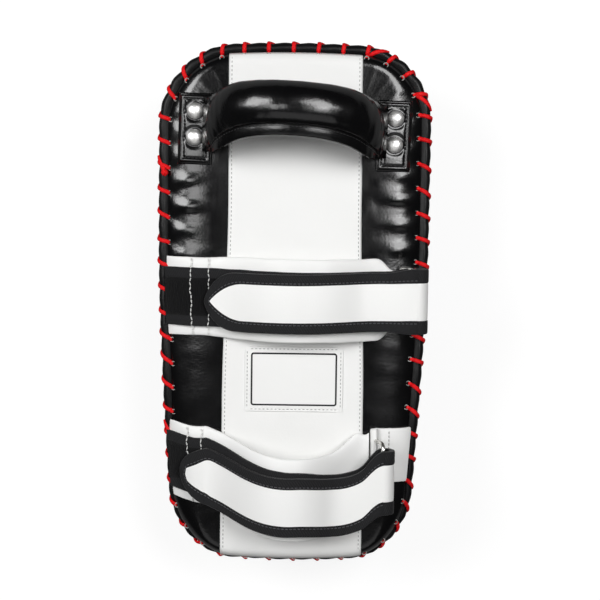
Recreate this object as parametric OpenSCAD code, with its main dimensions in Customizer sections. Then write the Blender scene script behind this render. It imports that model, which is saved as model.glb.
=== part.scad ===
// Thai pad: a laced kick pad for the forearm, lying on its striking face with its straps up.
// The handle end points along +Y. The origin is the middle of the striking face.

/* [Pad] */
// Length over the rolled edge
pad_length = 400; // [360:1:440]
// Width over the rolled edge at the handle end
pad_width = 207; // [200:1:225]
// Width over the rolled edge where the foot corners start
foot_width = 184; // [180:1:200]
// Distance from the middle toward the handle at which the sides start to narrow
taper_start = 50; // [20:1:80]
// Corner radius of the outline
corner_r = 48; // [44:1:56]
// Bow of the two short ends
end_bow = 6; // [2:0.5:10]
// Height of the laced seam above the striking face
seam_height = 92; // [84:1:104]
// Thickness of the cover leather
leather_t = 2; // [1.6:0.1:2.4]

/* [Striking face] */
// Height of the rounding between the striking face and the wall
face_round = 30; // [24:1:36]
// Inset of the flat striking face from the outline
face_inset = 36; // [30:1:40]
// Inset of the wall where it bulges most
wall_inset = 5; // [3:0.5:8]
// Thickness of the dense foam behind the striking face
strike_foam_t = 30; // [24:1:34]
// Thickness of the middle foam
core_foam_t = 34; // [28:1:38]

/* [Back] */
// Rise of the stuffed back panel above the seam
back_crown = 7; // [5:0.5:9]
// Width of the roll from the seam up to the flat of the back
roll_width = 10; // [9:0.5:12]
// Width of the white centre panel
centre_width = 106; // [96:1:112]
// Thickness of the centre panel
centre_t = 1.2; // [0.8:0.1:1.6]

/* [Laced edge] */
// Diameter of the rolled edge
piping_d = 9; // [8:0.25:10]
// Width of the flat seam between the rolled edge and the wall
seam_flat = 5.5; // [5:0.25:6.5]
// Diameter of the lace
lace_d = 3; // [2.4:0.1:3.4]
// Number of stitches round the edge
lace_stitches = 58; // [48:1:64]
// Clearance of the lace in its punched holes
lace_clear = 0.3; // [0.2:0.05:0.4]

/* [Handle] */
// Distance of the handle from the handle end of the pad
handle_end = 64; // [62:1:72]
// Distance of the handle's necks from the sides of the pad
neck_inset = 45.5; // [44:0.5:48]
// Height of the sleeve's middle line over its necks
handle_rise = 37; // [33:1:44]
// Lean of the handle at rest, toward the handle end
handle_lean = 15; // [8:1:16]
// Most that the handle leans either way from upright
handle_lean_max = 22; // [20:1:24]
// Bow of the sleeve's middle toward the handle end
handle_bow = 8; // [4:1:10]
// Width of the sleeve at its middle
grip_width = 37; // [35:1:40]
// Thickness of the sleeve at its middle
grip_thick = 30; // [26:1:32]
// Width of the sleeve at its necks
neck_width = 34; // [30:1:36]
// Thickness of the sleeve at its necks
neck_thick = 7; // [6.5:0.25:8]
// Width of the sewn seam flange along the sleeve
flange_width = 6; // [4:0.5:8]
// Length of a handle tab along the pad
tab_length = 51; // [46:1:54]
// Thickness of a handle tab
tab_t = 3; // [2.4:0.1:3.4]
// Thickness of the patch under a handle tab
patch_t = 1.5; // [1:0.1:1.8]
// Distance of the rivets from the sides of the pad
rivet_inset = 28; // [27.5:0.25:29]
// Distance between the two rivets of a tab
rivet_pitch = 19.7; // [17:0.1:24]
// Diameter of a rivet's cap
rivet_cap_d = 11.6; // [10:0.1:12]
// Diameter of a rivet's shank
rivet_shank_d = 4; // [3.5:0.1:4.5]

/* [Straps] */
// Width of a strap over its bindings
strap_width = 47; // [42:0.5:48]
// Thickness of the strap band
band_t = 2.2; // [1.8:0.1:2.6]
// Thickness of the turned-back flap
flap_t = 3; // [2.4:0.1:3.4]
// Width of the woven binding on each edge
binding_width = 8.5; // [7:0.25:9]
// Thickness of the woven binding
binding_t = 0.5; // [0.4:0.05:0.7]
// Width of a padded liner
liner_width = 63; // [58:0.5:66]
// Thickness of a padded liner at its crown
liner_t = 5; // [4:0.25:6]
// Outer radius of the fold round a ring
fold_r = 7.5; // [7:0.25:8.5]
// Length of a flap's pointed tip
tip_length = 27; // [22:1:32]

/* [Upper strap] */
// Place of the upper strap, from the middle of the pad toward the handle
upper_y = 7; // [0:1:10]
// Sag of the upper strap toward the foot
upper_sag = 3; // [0:0.5:5]
// Drift of the upper flap's tip toward the foot, off the band below
upper_drift = 3; // [0:0.5:5]
// Rise of the upper strap's arch
upper_rise = 18; // [14:1:24]
// Inset of the line at which the upper strap leaves the panel
upper_sew_inset = 37; // [34:1:40]
// Distance of the upper ring's root from the side of the pad
upper_ring_inset = 22.3; // [20:0.1:24]
// Angle at which the upper ring stands
upper_ring_angle = 48; // [40:1:56]
// Distance of the upper flap's tip from the side of the pad
upper_tip_inset = 33.3; // [30:0.1:42]

/* [Lower strap] */
// Distance of the lower strap from the foot of the pad
lower_end = 81; // [76:1:88]
// Sag of the lower strap toward the foot
lower_sag = 24; // [16:1:26]
// Drift of the lower flap's tip toward the foot, off the band below
lower_drift = 7; // [0:0.5:8]
// Rise of the lower strap's arch
lower_rise = 30; // [22:1:34]
// Inset of the line at which the lower strap leaves the panel
lower_sew_inset = 31; // [30:1:34]
// Distance of the lower ring's root from the side of the pad
lower_ring_inset = 31.8; // [29:0.1:35]
// Angle at which the lower ring stands
lower_ring_angle = 72; // [64:1:80]
// Distance of the lower flap's tip from the side of the pad
lower_tip_inset = 11.5; // [11:0.5:24]

/* [Rings] */
// Diameter of the ring wire
wire_d = 3.2; // [2.6:0.1:3.6]
// Clear length of a ring along its strap bar
ring_length = 51; // [50:0.5:54]
// Distance between the two bars of a ring
ring_reach = 19; // [17:0.5:21]
// Bend radius of a ring's corners
ring_bend = 5; // [4:0.25:6]
// Width of a ring's leather tab
ring_tab_width = 42; // [38:0.5:43]
// Thickness of a ring's leather tab
ring_tab_t = 1.8; // [1.4:0.1:2]
// Clearance of a ring in its tab
ring_clear = 0.3; // [0.2:0.05:0.4]

/* [Label] */
// Width of the bare label patch
label_width = 76; // [60:1:84]
// Height of the bare label patch
label_height = 51; // [40:1:54]
// Place of the label patch, from the middle between the straps
label_shift = 0.5; // [-4:0.5:4]
// Thickness of the label patch
label_t = 0.8; // [0.6:0.1:1.2]
// Width of the label's border line
border_width = 1.2; // [0.8:0.1:2]
// Inset of the border from the edge of the patch
border_inset = 5; // [3:0.5:8]

/* [Hidden] */
// Gap between pieces that lie on each other
seat_gap = 0.15;
// Gap between pieces that move past each other
run_gap = 0.4;
// Steps of the outline: each corner, each short end, each long side
corner_steps = 6;
end_steps = 4;
side_steps = 8;
// Stations up the roll of the back panel, a quarter turn in all
roll_steps = 4;
taper_power = 1.6;
// Places that follow the sides and the ends of the pad
handle_y = pad_length / 2 - handle_end;
neck_x = pad_width / 2 - neck_inset;
rivet_x = pad_width / 2 - rivet_inset;
lower_y = lower_end - pad_length / 2;
label_y = (upper_y + lower_y) / 2 + label_shift;
// Punched holes sit in the flat seam, this far from the rolled edge
hole_margin = 0.45;
hole_d = lace_d + 2 * lace_clear;
hole_inset = piping_d + hole_margin + hole_d / 2;
rim_flat = piping_d + seam_flat;
// The lips of the cover and the back panel meet at the seam and reach into the rolled edge
seam_gap = 0.2;
lip_reach = 2.9;
lip_inset = piping_d - lip_reach;
slot_half = leather_t + seam_gap / 2 + 2 * seat_gap;
lip_slot = piping_d / 2 - lip_inset + seat_gap;
lip_low = seam_height - seam_gap / 2 - leather_t;
lip_top = seam_height + seam_gap / 2 + leather_t;
// Height of the flat of the back
deck = lip_top + back_crown;
round_fn = 40;

black_leather = "#17171a";
white_leather = "#ecebe8";
lace_red = "#b3202b";
tape_grey = "#2a2a2d";
nickel = "#c9c9c6";
foam_grey = "#8d8f93";

// Small helpers
function unit(v) = v / norm(v);
function clamp01(t) = max(0, min(1, t));
function mix(a, b, t) = a + (b - a) * t;
function reversed(list) = [for (i = [len(list) - 1:-1:0]) list[i]];
function mirrored(path) = [for (p = path) [-p.x, p.y]];
function bezier(a, b, c, d, t) =
    a * pow(1 - t, 3) + b * 3 * t * pow(1 - t, 2) + c * 3 * t * t * (1 - t) + d * pow(t, 3);

// Direction, left of the path, in which each point of a path moves for an offset of one
function segment_normal(path, i) = let (d = path[i + 1] - path[i]) unit([-d.y, d.x]);
function miters(path) = [
    for (i = [0:len(path) - 1])
    let (a = segment_normal(path, max(i - 1, 0)), b = segment_normal(path, min(i, len(path) - 2)))
    (a + b) / (1 + a * b)
];
function offset_path(path, d) = let (m = miters(path)) [for (i = [0:len(path) - 1]) path[i] + m[i] * d];
function slab(path, low, high) = concat(offset_path(path, low), reversed(offset_path(path, high)));

// A solid through rings of points, capped at both ends or closed on itself
module loft(rings, closed = false, caps = undef) {
    n = len(rings[0]);
    m = len(rings);
    sides = [
        for (i = [0:m - (closed ? 1 : 2)])
        for (j = [0:n - 1])
        let (k = (i + 1) % m, l = (j + 1) % n)
        each [[i * n + j, k * n + j, k * n + l], [i * n + j, k * n + l, i * n + l]]
    ];
    cap = caps == undef ? [[for (j = [0:n - 1]) j]] : caps;
    ends = closed ? [] : concat(cap, [for (face = reversed(cap)) [for (j = reversed(face)) (m - 1) * n + j]]);
    polyhedron(points = [for (r = rings) each r], faces = concat(sides, ends), convexity = 8);
}

// A profile in X and Z, drawn through the pad along Y
module cross_piece(points, width, y) {
    translate([0, y, 0])
        rotate([90, 0, 0])
            linear_extrude(width, center = true)
                polygon(points);
}

module rounded_plate(w, h, r) {
    square([w - 2 * r, h], center = true);
    square([w, h - 2 * r], center = true);
    for (x = [-1, 1], y = [-1, 1])
        translate([x * (w / 2 - r), y * (h / 2 - r)])
            circle(r, $fn = round_fn);
}

// Outline of the pad: a rounded rectangle whose ends bow and whose foot narrows
base_half = pad_length / 2 - end_bow;
function side_scale(y) = 1 - (1 - foot_width / pad_width)
    * pow(max(0, (taper_start - y) / (taper_start + pad_length / 2 - corner_r)), taper_power);
function bend(p) =
    [p.x * side_scale(p.y), p.y * (1 + end_bow / base_half * (1 - pow(2 * p.x / pad_width, 2)))];
corner_signs = [[1, 1], [-1, 1], [-1, -1], [1, -1]];
function corner_point(k, a) = [
    corner_signs[k % 4].x * (pad_width / 2 - corner_r) + corner_r * cos(a),
    corner_signs[k % 4].y * (base_half - corner_r) + corner_r * sin(a)
];
function straight_points(k, n) =
    [for (i = [1:n - 1]) mix(corner_point(k, 90 * (k + 1)), corner_point(k + 1, 90 * (k + 1)), i / n)];
outline = [
    for (k = [0:3])
    each [
        for (p = concat(
            [for (i = [0:corner_steps]) corner_point(k, 90 * (k + i / corner_steps))],
            straight_points(k, k % 2 == 0 ? end_steps : side_steps)
        ))
        bend(p)
    ]
];
outline_n = len(outline);
function around(list, i) = list[(i + len(list)) % len(list)];
outline_out = [
    for (i = [0:outline_n - 1])
    let (d = around(outline, i + 1) - around(outline, i - 1))
    unit([d.y, -d.x])
];
function ring_at(inset, z) =
    [for (i = [0:outline_n - 1]) let (p = outline[i] - outline_out[i] * inset) [p.x, p.y, z]];
module outline_loft(profile) {
    loft([for (p = profile) ring_at(p.x, p.y)]);
}
function half_width(y) = pad_width / 2 * side_scale(y);

// Profiles as inset and height: the cover from the striking face up to its lip, the back from its lip in
face_profile = [
    for (a = [0:15:90])
    [face_inset - (face_inset - wall_inset) * sin(a), face_round * (1 - cos(a))]
];
wall_profile = [
    for (t = [0.3, 0.6, 0.8, 0.92, 1])
    [mix(wall_inset, rim_flat, pow(t, 3)), mix(face_round, lip_low, t)]
];
cover_outside = concat(face_profile, wall_profile);
function cover_inside(depth) = offset_path(cover_outside, -depth);
function roll_inset(a) = rim_flat + roll_width * (1 - cos(a));
function roll_height(a) = lip_top + back_crown * sin(a);
function roll_angle(i) = 90 * i / roll_steps;
roll_profile = [for (i = [1:roll_steps]) let (a = roll_angle(i)) [roll_inset(a), roll_height(a)]];
panel_outside = concat([[lip_inset, lip_top], [rim_flat, lip_top]], roll_profile);
function panel_inside(depth) = offset_path(panel_outside, -depth);

module strike_cover() {
    lip = [[lip_inset, lip_low], [lip_inset, lip_low + leather_t]];
    inside = [for (p = reversed(cover_inside(leather_t))) if (p.y < lip_low) p];
    throat = [[rim_flat + leather_t, lip_low + leather_t]];
    color(black_leather)
        difference() {
            outline_loft(concat(cover_outside, lip, throat, inside));
            lace_holes();
        }
}

// Foam fills the cover up to a height, one gap inside the leather
foam_wall = cover_inside(leather_t + seat_gap);
function foam_inset(z) = lookup(z, [for (p = foam_wall) [p.y, p.x]]);
foam_floor = leather_t + seat_gap;
strike_top = foam_floor + strike_foam_t;
core_top = strike_top + seat_gap + core_foam_t;
module strike_foam() {
    low = [for (p = foam_wall) if (p.y < strike_top - 0.5) p];
    color(foam_grey)
        outline_loft(concat(low, [[foam_inset(strike_top), strike_top]]));
}
module core_foam() {
    low = strike_top + seat_gap;
    color(foam_grey)
        outline_loft([for (t = [0, 0.5, 1]) let (z = mix(low, core_top, t)) [foam_inset(z), z]]);
}
module back_foam() {
    low = core_top + seat_gap;
    shoulder = lip_low - leather_t;
    crown = [for (p = panel_inside(leather_t + seat_gap)) if (p.x > rim_flat + leather_t + 1) p];
    sides = [for (t = [0, 0.5, 1]) let (z = mix(low, shoulder, t)) [foam_inset(z), z]];
    color(foam_grey)
        difference() {
            outline_loft(concat(sides, crown));
            at_rivets()
                translate([0, 0, washer_top - washer_t - seat_gap])
                    cylinder(d = washer_d + 4 * seat_gap, h = back_crown, $fn = round_fn);
        }
}

module back_panel() {
    color(black_leather)
        difference() {
            outline_loft(concat(reversed(panel_inside(leather_t)), panel_outside));
            lace_holes();
            at_rivets()
                translate([0, 0, seam_height])
                    cylinder(d = rivet_shank_d + 2 * seat_gap, h = deck, $fn = round_fn);
        }
}

// The white panel runs over both end rolls, following the bow of the ends
function end_reach(x) = pad_length / 2 - end_bow * pow(2 * x / pad_width, 2);
function end_path(x) = let (
    roll = [for (p = roll_profile) [end_reach(x) - p.x, p.y]]
) concat(mirrored(roll), reversed(roll));
module centre_panel() {
    columns = 6;
    color(white_leather)
        loft([
            for (i = [0:columns])
            let (x = mix(centre_width / 2, -centre_width / 2, i / columns))
            [for (p = reversed(slab(end_path(x), seat_gap, seat_gap + centre_t))) [x, p.x, p.y]]
        ], caps = strip_caps(len(end_path(0))));
}
// Cap faces of a ring that is two paths of n points, there and back
function strip_caps(n) = [for (i = [0:n - 2]) [i, i + 1, 2 * n - 2 - i, 2 * n - 1 - i]];

// The rolled edge folds round both lips
module edge_piping() {
    r = piping_d / 2;
    mouth = asin(slot_half / r);
    arc_steps = 8;
    section = concat(
        [for (i = [0:arc_steps]) let (a = mix(180 - mouth, mouth - 180, i / arc_steps)) r * [cos(a), sin(a)]],
        [[lip_slot, -slot_half], [lip_slot, slot_half]]
    );
    color(black_leather)
        loft([
            for (i = [0:outline_n - 1])
            let (p = outline[i] - outline_out[i] * r, o = outline_out[i])
            [for (q = section) [p.x + o.x * q.x, p.y + o.y * q.x, seam_height + q.y]]
        ], closed = true);
}

// One lace, whipped round the edge: up through a hole, over the rolled edge, under it to the next hole
outline_steps = [for (i = [0:outline_n - 1]) norm(around(outline, i + 1) - outline[i])];
outline_run = [for (i = 0, s = 0; i <= outline_n; s = s + around(outline_steps, i), i = i + 1) s];
edge_length = outline_run[outline_n];
function edge_lookup(list, axis, s) =
    lookup(s, [for (i = [0:outline_n]) [outline_run[i], around(list, i)[axis]]]);
function on_edge(s, inset, z) = let (
    t = s - edge_length * floor(s / edge_length),
    o = unit([edge_lookup(outline_out, 0, t), edge_lookup(outline_out, 1, t)])
) [edge_lookup(outline, 0, t) - o.x * inset, edge_lookup(outline, 1, t) - o.y * inset, seam_height + z];
lace_pitch = edge_length / lace_stitches;
// The lace starts on the left side of the pad, beside the handle
lace_start_share = 0.335;
lace_start = edge_length * lace_start_share;
function stitch_run(i) = lace_start - i * lace_pitch;
module lace_holes() {
    for (i = [0:lace_stitches - 1])
        translate(on_edge(stitch_run(i), hole_inset, -piping_d / 2))
            cylinder(d = hole_d, h = piping_d, $fn = 16);
}
// The lace runs at this height over the rolled edge, and this far outside it
lace_orbit = piping_d / 2 + lace_d / 2 + lace_clear;
lace_side = -lace_d / 2 - lace_clear;
lace_drop = piping_d / 2 - leather_t / 3;
lace_near = piping_d / 2 + 2.6;
lace_far = piping_d / 2 - 2;
// Eight places of one stitch: how far along its pitch, inset and height
stitch_places = [
    [0, hole_inset, -lace_drop], [0, hole_inset, lace_drop],
    [0.1, lace_near, lace_orbit + lace_clear], [0.24, lace_far, lace_orbit],
    [0.36, lace_side, lace_orbit / 2], [0.52, lace_side, -lace_orbit / 2],
    [0.68, lace_far, -lace_orbit], [0.86, lace_near, -lace_orbit - lace_clear]
];
lace_route = concat(
    [on_edge(stitch_run(0), hole_inset, -lace_drop - lace_d)],
    [
        for (i = [0:lace_stitches - 2])
        for (place = stitch_places)
        on_edge(stitch_run(i + place[0]), place[1], place[2])
    ],
    [for (z = [-lace_drop, lace_drop, lace_drop + lace_d]) on_edge(stitch_run(lace_stitches - 1), hole_inset, z)]
);
lace_sides = 6;
function tube_ring(route, i, d) = let (
    t = unit(route[min(i + 1, len(route) - 1)] - route[max(i - 1, 0)]),
    out = unit([route[i].x, route[i].y * 0.5, 0]),
    along = unit(cross([0, 0, 1], out)),
    u = unit(along - t * (along * t)),
    v = cross(t, u)
) [for (j = [0:lace_sides - 1]) let (a = 360 * j / lace_sides) route[i] + d / 2 * (u * cos(a) + v * sin(a))];
module edge_lacing() {
    apart = len(stitch_places) - 2;
    last = len(lace_route) - 1;
    gaps = [
        for (i = [0:last - apart])
        min([for (j = [i + apart:last]) norm(lace_route[i] - lace_route[j])])
    ];
    echo(lace_least_gap = min(gaps) - lace_d);
    color(lace_red)
        loft([for (i = [0:len(lace_route) - 1]) tube_ring(lace_route, i, lace_d)]);
}

// Height of the back panel over a place on its side roll
function deck_at(x, half) =
    lip_top + back_crown * sin(acos(1 - clamp01((half - abs(x) - rim_flat) / roll_width)));
// Path over the panel from a station of its side roll in to x, on the right side
path_margin = 1;
function side_path(half, first, x) = concat(
    [
        for (i = [first - 1:roll_steps - 1])
        let (p = roll_profile[i])
        if (half - p.x > x + path_margin) [half - p.x, p.y]
    ],
    [[x, deck_at(x, half)]]
);

// Label patch, bare, with a plain border
label_seat = deck + 2 * seat_gap + centre_t;
module label_patch() {
    color(white_leather)
        translate([0, label_y, label_seat])
            linear_extrude(label_t)
                rounded_plate(label_width, label_height, border_inset);
}
module label_border() {
    w = label_width - 2 * border_inset;
    h = label_height - 2 * border_inset;
    color(black_leather)
        translate([0, label_y, label_seat + label_t + seat_gap])
            linear_extrude(label_t / 2)
                difference() {
                    rounded_plate(w, h, border_inset);
                    rounded_plate(w - 2 * border_width, h - 2 * border_width, border_inset - border_width);
                }
}

// Handle: patch, tab and rivets at each end, and the stuffed sleeve between the necks
patch_low = seat_gap;
tab_low = patch_low + patch_t + seat_gap;
neck_bend = 6;
neck_top = deck + tab_low + tab_t + neck_bend;
pivot_z = neck_top + run_gap;
patch_margin = 1.5;
tab_plain = side_path(pad_width / 2, 2, neck_x + tab_t / 2 + neck_bend);
module at_rivets() {
    for (side = [-1, 1], end = [-1, 1])
        translate([side * rivet_x, handle_y + end * rivet_pitch / 2, 0])
            children();
}
module shank_holes() {
    at_rivets()
        translate([0, 0, lip_low])
            cylinder(d = rivet_shank_d + 2 * seat_gap, h = pad_length, $fn = round_fn);
}
module handle_patch(side) {
    path = slab(reversed(tab_plain), patch_low, patch_low + patch_t);
    color(black_leather)
        difference() {
            cross_piece([for (p = path) [side * p.x, p.y]], tab_length + 2 * patch_margin, handle_y);
            shank_holes();
        }
}
module handle_tab(side) {
    flat = slab(reversed(tab_plain), tab_low, tab_low + tab_t);
    floor_z = deck + tab_low;
    centre = [neck_x + tab_t / 2 + neck_bend, floor_z + tab_t + neck_bend];
    bend_steps = 6;
    function turn(r) = [for (i = [0:bend_steps]) let (a = 270 - 90 * i / bend_steps) centre + r * [cos(a), sin(a)]];
    neck = concat(turn(neck_bend + tab_t), reversed(turn(neck_bend)));
    color(black_leather)
        difference() {
            union() {
                cross_piece([for (p = flat) [side * p.x, p.y]], tab_length, handle_y);
                cross_piece([for (p = neck) [side * p.x, p.y]], neck_width, handle_y);
            }
            shank_holes();
        }
}
cap_seat = deck + tab_low + tab_t + seat_gap;
washer_d = rivet_cap_d;
washer_t = 1;
washer_top = deck_at(rivet_x + washer_d / 2, pad_width / 2) - leather_t - 2 * seat_gap;
module rivets() {
    dome = 2.6;
    rim = 0.6;
    dome_r = (pow(rivet_cap_d / 2, 2) + pow(dome, 2)) / (2 * dome);
    foot = washer_top - washer_t;
    color(nickel)
        at_rivets() {
            translate([0, 0, cap_seat])
                rotate_extrude($fn = round_fn)
                    intersection() {
                        union() {
                            square([rivet_cap_d / 2, rim]);
                            translate([0, rim + dome - dome_r])
                                circle(dome_r, $fn = 2 * round_fn);
                        }
                        square([rivet_cap_d / 2, rim + dome]);
                    }
            translate([0, 0, foot])
                cylinder(d = rivet_shank_d, h = cap_seat + rim - foot, $fn = round_fn);
        }
}
module rivet_washers() {
    color(nickel)
        at_rivets()
            translate([0, 0, washer_top - washer_t])
                difference() {
                    cylinder(d = washer_d, h = washer_t, $fn = round_fn);
                    translate([0, 0, -washer_t])
                        cylinder(d = rivet_shank_d + 2 * seat_gap, h = 3 * washer_t, $fn = round_fn);
                }
}

// The sleeve follows an arch over the pad; its section swells from the necks to the grip
sleeve_steps = 20;
arch_power = 2 / 2.3;
function arch_point(i) = let (a = 180 * i / sleeve_steps) [
    -neck_x * sign(cos(a)) * pow(abs(cos(a)), arch_power), handle_rise * pow(abs(sin(a)), arch_power)
];
arch = [for (i = [0:sleeve_steps]) arch_point(i)];
// How far a station has swelled, nought at a neck and one at the grip
function swell(i) = pow(sin(180 * i / sleeve_steps), 0.6);
sleeve_sides = 14;
// The two ends are cut back from the middle so that the sleeve can lean on its necks
function end_cut(i) = tan(handle_lean_max + 1) * max(0, 1 - min(i, sleeve_steps - i) / 3);
function sleeve_ring(i, skin) = let (
    m = miters(arch)[i],
    wide = mix(neck_width, grip_width, swell(i)) / 2 - skin,
    thick = mix(neck_thick, grip_thick, swell(i)) / 2 - skin,
    flange = (skin > 0 ? 0 : flange_width) * swell(i)
) [
    for (j = [0:sleeve_sides - 1])
    let (
        a = 360 * j / sleeve_sides,
        lateral = wide * cos(a) - flange * pow(max(0, -cos(a)), 9) + handle_bow * swell(i),
        lift = thick * sin(a),
        cut = abs((wide + skin) * cos(a)) * end_cut(i)
    )
    [arch[i].x + m.x * lift, lateral, arch[i].y + m.y * lift + cut]
];
module lean_sleeve() {
    translate([0, handle_y, pivot_z])
        rotate([-handle_lean, 0, 0])
            children();
}
module handle_sleeve() {
    outside = [for (i = [0:sleeve_steps]) sleeve_ring(i, 0)];
    inside = [for (i = [sleeve_steps:-1:0]) sleeve_ring(i, leather_t)];
    color(black_leather)
        lean_sleeve()
            loft(concat(outside, inside), closed = true);
}
module handle_core() {
    color(foam_grey)
        lean_sleeve()
            loft(
                [for (i = [1:sleeve_steps - 1]) sleeve_ring(i, leather_t + 2 * seat_gap)],
                caps = [for (j = [0:sleeve_sides / 2 - 1]) core_cap(j)]
            );
}
// Cap strip between two pairs of points that lie across the sleeve from each other
function core_cap(j) = let (n = sleeve_sides, k = n - j)
    j == 0 ? [0, 1, n - 1] : j == n / 2 - 1 ? [j, j + 1, k] : [j, j + 1, k - 1, k];

// Straps. A strap is given as place, sag, rise, sew inset, ring root, ring angle, tip and drift
upper = [
    upper_y, upper_sag, upper_rise, upper_sew_inset,
    half_width(upper_y) - upper_ring_inset, upper_ring_angle, half_width(upper_y) - upper_tip_inset, upper_drift
];
lower = [
    lower_y, lower_sag, lower_rise, lower_sew_inset,
    half_width(lower_y) - lower_ring_inset, lower_ring_angle, half_width(lower_y) - lower_tip_inset, lower_drift
];
wire_r = wire_d / 2;
loop_r = wire_r + ring_clear;
function strap_half(s) = half_width(s[0]);
function sew_x(s) = -(strap_half(s) - s[3]);
// A ring's tab lies on the panel where the pad is widest under it
function tab_half(s) = half_width(s[0] + ring_tab_width / 2);
function ring_root(s) = [s[4], deck_at(s[4], tab_half(s)) + seat_gap + ring_tab_t + loop_r];
function ring_bar(s) = ring_root(s) + ring_reach * [cos(s[5]), sin(s[5])];
// Middle line of a strap in plan, which sags between the sewn end and the ring
function sag_share(s, x) = clamp01((x - sew_x(s)) / (ring_bar(s).x - sew_x(s)));
sag_skew = 1.1;
sag_power = 2.4;
// The sag is over before the strap goes between the sides of its ring
sag_end = [0.8, 0.94];
function settled(u) = let (
    t = clamp01((u - sag_end[0]) / (sag_end[1] - sag_end[0]))
) t * t * (3 - 2 * t);
function strap_line(s, x) = let (
    u = sag_share(s, x)
) s[0] - s[1] * (1 - pow(abs(2 * pow(u, sag_skew) - 1), sag_power)) * (1 - settled(u));
// How far the flap has drifted off the band, nought at the ring and all of it at the sewn end
function flap_drift(s, x) = s[7] * (sag_share(s, x) - 1);

// Underside of the liner: down on the panel at the left, then an arch that comes down before the ring
liner_lift = 3;
liner_seat = 2 * seat_gap;
liner_steps = 16;
function liner_end(s) = s[4] - loop_r - ring_tab_t - 2;
function liner_path(s) = concat(
    mirrored(offset_path(side_path(strap_half(s), 1, -sew_x(s)), -liner_seat)),
    [
        for (i = [1:liner_steps])
        let (u = i / liner_steps)
        [
            mix(sew_x(s), liner_end(s), u),
            deck + liner_seat + s[2] * (1 - cos(360 * u)) / 2 + liner_lift * u
        ]
    ]
);
// The band lies on the liner, then dips under the ring bar and folds round it
merge_steps = 10;
fold_steps = 8;
band_merge = 46;
band_lift = liner_t + seat_gap + binding_t;
function band_path(s) = let (
    bar = ring_bar(s),
    on_liner = [for (p = offset_path(liner_path(s), band_lift)) if (p.x < bar.x - band_merge) p],
    last = on_liner[len(on_liner) - 1],
    heading = unit(last - on_liner[len(on_liner) - 2]),
    start = [bar.x, bar.y - fold_r],
    reach = norm(start - last) / 2.6
) concat(
    on_liner,
    [for (i = [1:merge_steps]) bezier(last, last + heading * reach, start - [reach, 0], start, i / merge_steps)],
    [for (i = [1:fold_steps]) let (a = -90 + 180 * i / fold_steps) bar + fold_r * [cos(a), sin(a)]]
);
// The flap lies on the band from its tip to the ring, then rises to the top of the fold
flap_lift = band_t + 2 * binding_t + run_gap;
crease_gap = 0.5;
flap_merge = 34;
function flap_path(s) = let (
    bar = ring_bar(s),
    whole = offset_path(band_path(s), flap_lift),
    count = len(whole) - fold_steps - 1,
    from = -s[6] + path_margin,
    on_band = [for (i = [0:count]) if (whole[i].x > from && whole[i].x < bar.x - flap_merge) whole[i]],
    tail = [-s[6], lookup(-s[6], [for (i = [0:count]) whole[i]])],
    last = on_band[len(on_band) - 1],
    heading = unit(last - on_band[len(on_band) - 2]),
    finish = [bar.x - crease_gap, bar.y + fold_r - flap_t],
    reach = norm(finish - last) / 2.6
) concat(
    [tail],
    on_band,
    [for (i = [1:merge_steps]) bezier(last, last + heading * reach, finish - [reach, 0], finish, i / merge_steps)]
);

// The sewn end follows the edge of the pad, which narrows along the strap's width
function edge_shift(s, x, y) = let (
    flat = -(strap_half(s) - rim_flat - roll_width)
) (strap_half(s) - half_width(y)) * clamp01((sew_x(s) - x) / (sew_x(s) - flat));
// A place on a strap from a path point, its miter, a sideways place and a height over the path
function on_strap(s, p, m, side, d) = [p.x + m.x * d, strap_line(s, p.x) + side, p.y + m.y * d];
function on_sewn_strap(s, p, m, side, d) = let (
    q = on_strap(s, p, m, side, d)
) [q.x + edge_shift(s, p.x, q.y), q.y, q.z];
function on_flap(s, p, m, side, d) = on_sewn_strap(s, p, m, side + flap_drift(s, p.x), d);
// A strip along a path: each section point is a sideways place and a height over the path
function strip_rings(s, path, section) = let (m = miters(path)) [
    for (i = [0:len(path) - 1])
    [for (q = section) on_sewn_strap(s, path[i], m[i], q[0], q[1])]
];
function bar_section(a, b, low, high) = [[a, low], [b, low], [b, high], [a, high]];

module liner(s) {
    half = liner_width / 2;
    edge = liner_t * 0.45;
    // A padded section: flat below, crowned above, drawn in at both sewn sides
    section = [
        [-half, 0], [half, 0], [half, edge], [half * 0.86, liner_t * 0.86], [half * 0.6, liner_t],
        [-half * 0.6, liner_t], [-half * 0.86, liner_t * 0.86], [-half, edge]
    ];
    path = liner_path(s);
    count = len(path);
    // The free end is rounded in plan and thins toward its sewn edge
    function end_share(i) = i > count - 4 ? [0.93, 0.82, 0.6][i - count + 3] : 1;
    function thin(i) = i > count - 2 ? 0.6 : 1;
    m = miters(path);
    color(white_leather)
        loft([
            for (i = [0:count - 1])
            [for (q = section) on_sewn_strap(s, path[i], m[i], q[0] * end_share(i), q[1] * thin(i))]
        ]);
}
band_half = strap_width / 2 - binding_t - seat_gap;
module band(s) {
    color(black_leather)
        loft(strip_rings(s, band_path(s), bar_section(-band_half, band_half, 0, band_t)));
}
tape_half = strap_width / 2 - binding_width - seat_gap;
module loop_tape(s) {
    path = [for (p = band_path(s)) if (p.x < ring_bar(s).x - band_merge) p];
    low = band_t + seat_gap;
    color(tape_grey)
        loft(strip_rings(s, path, bar_section(-tape_half, tape_half, low, band_t + binding_t)));
}
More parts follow.
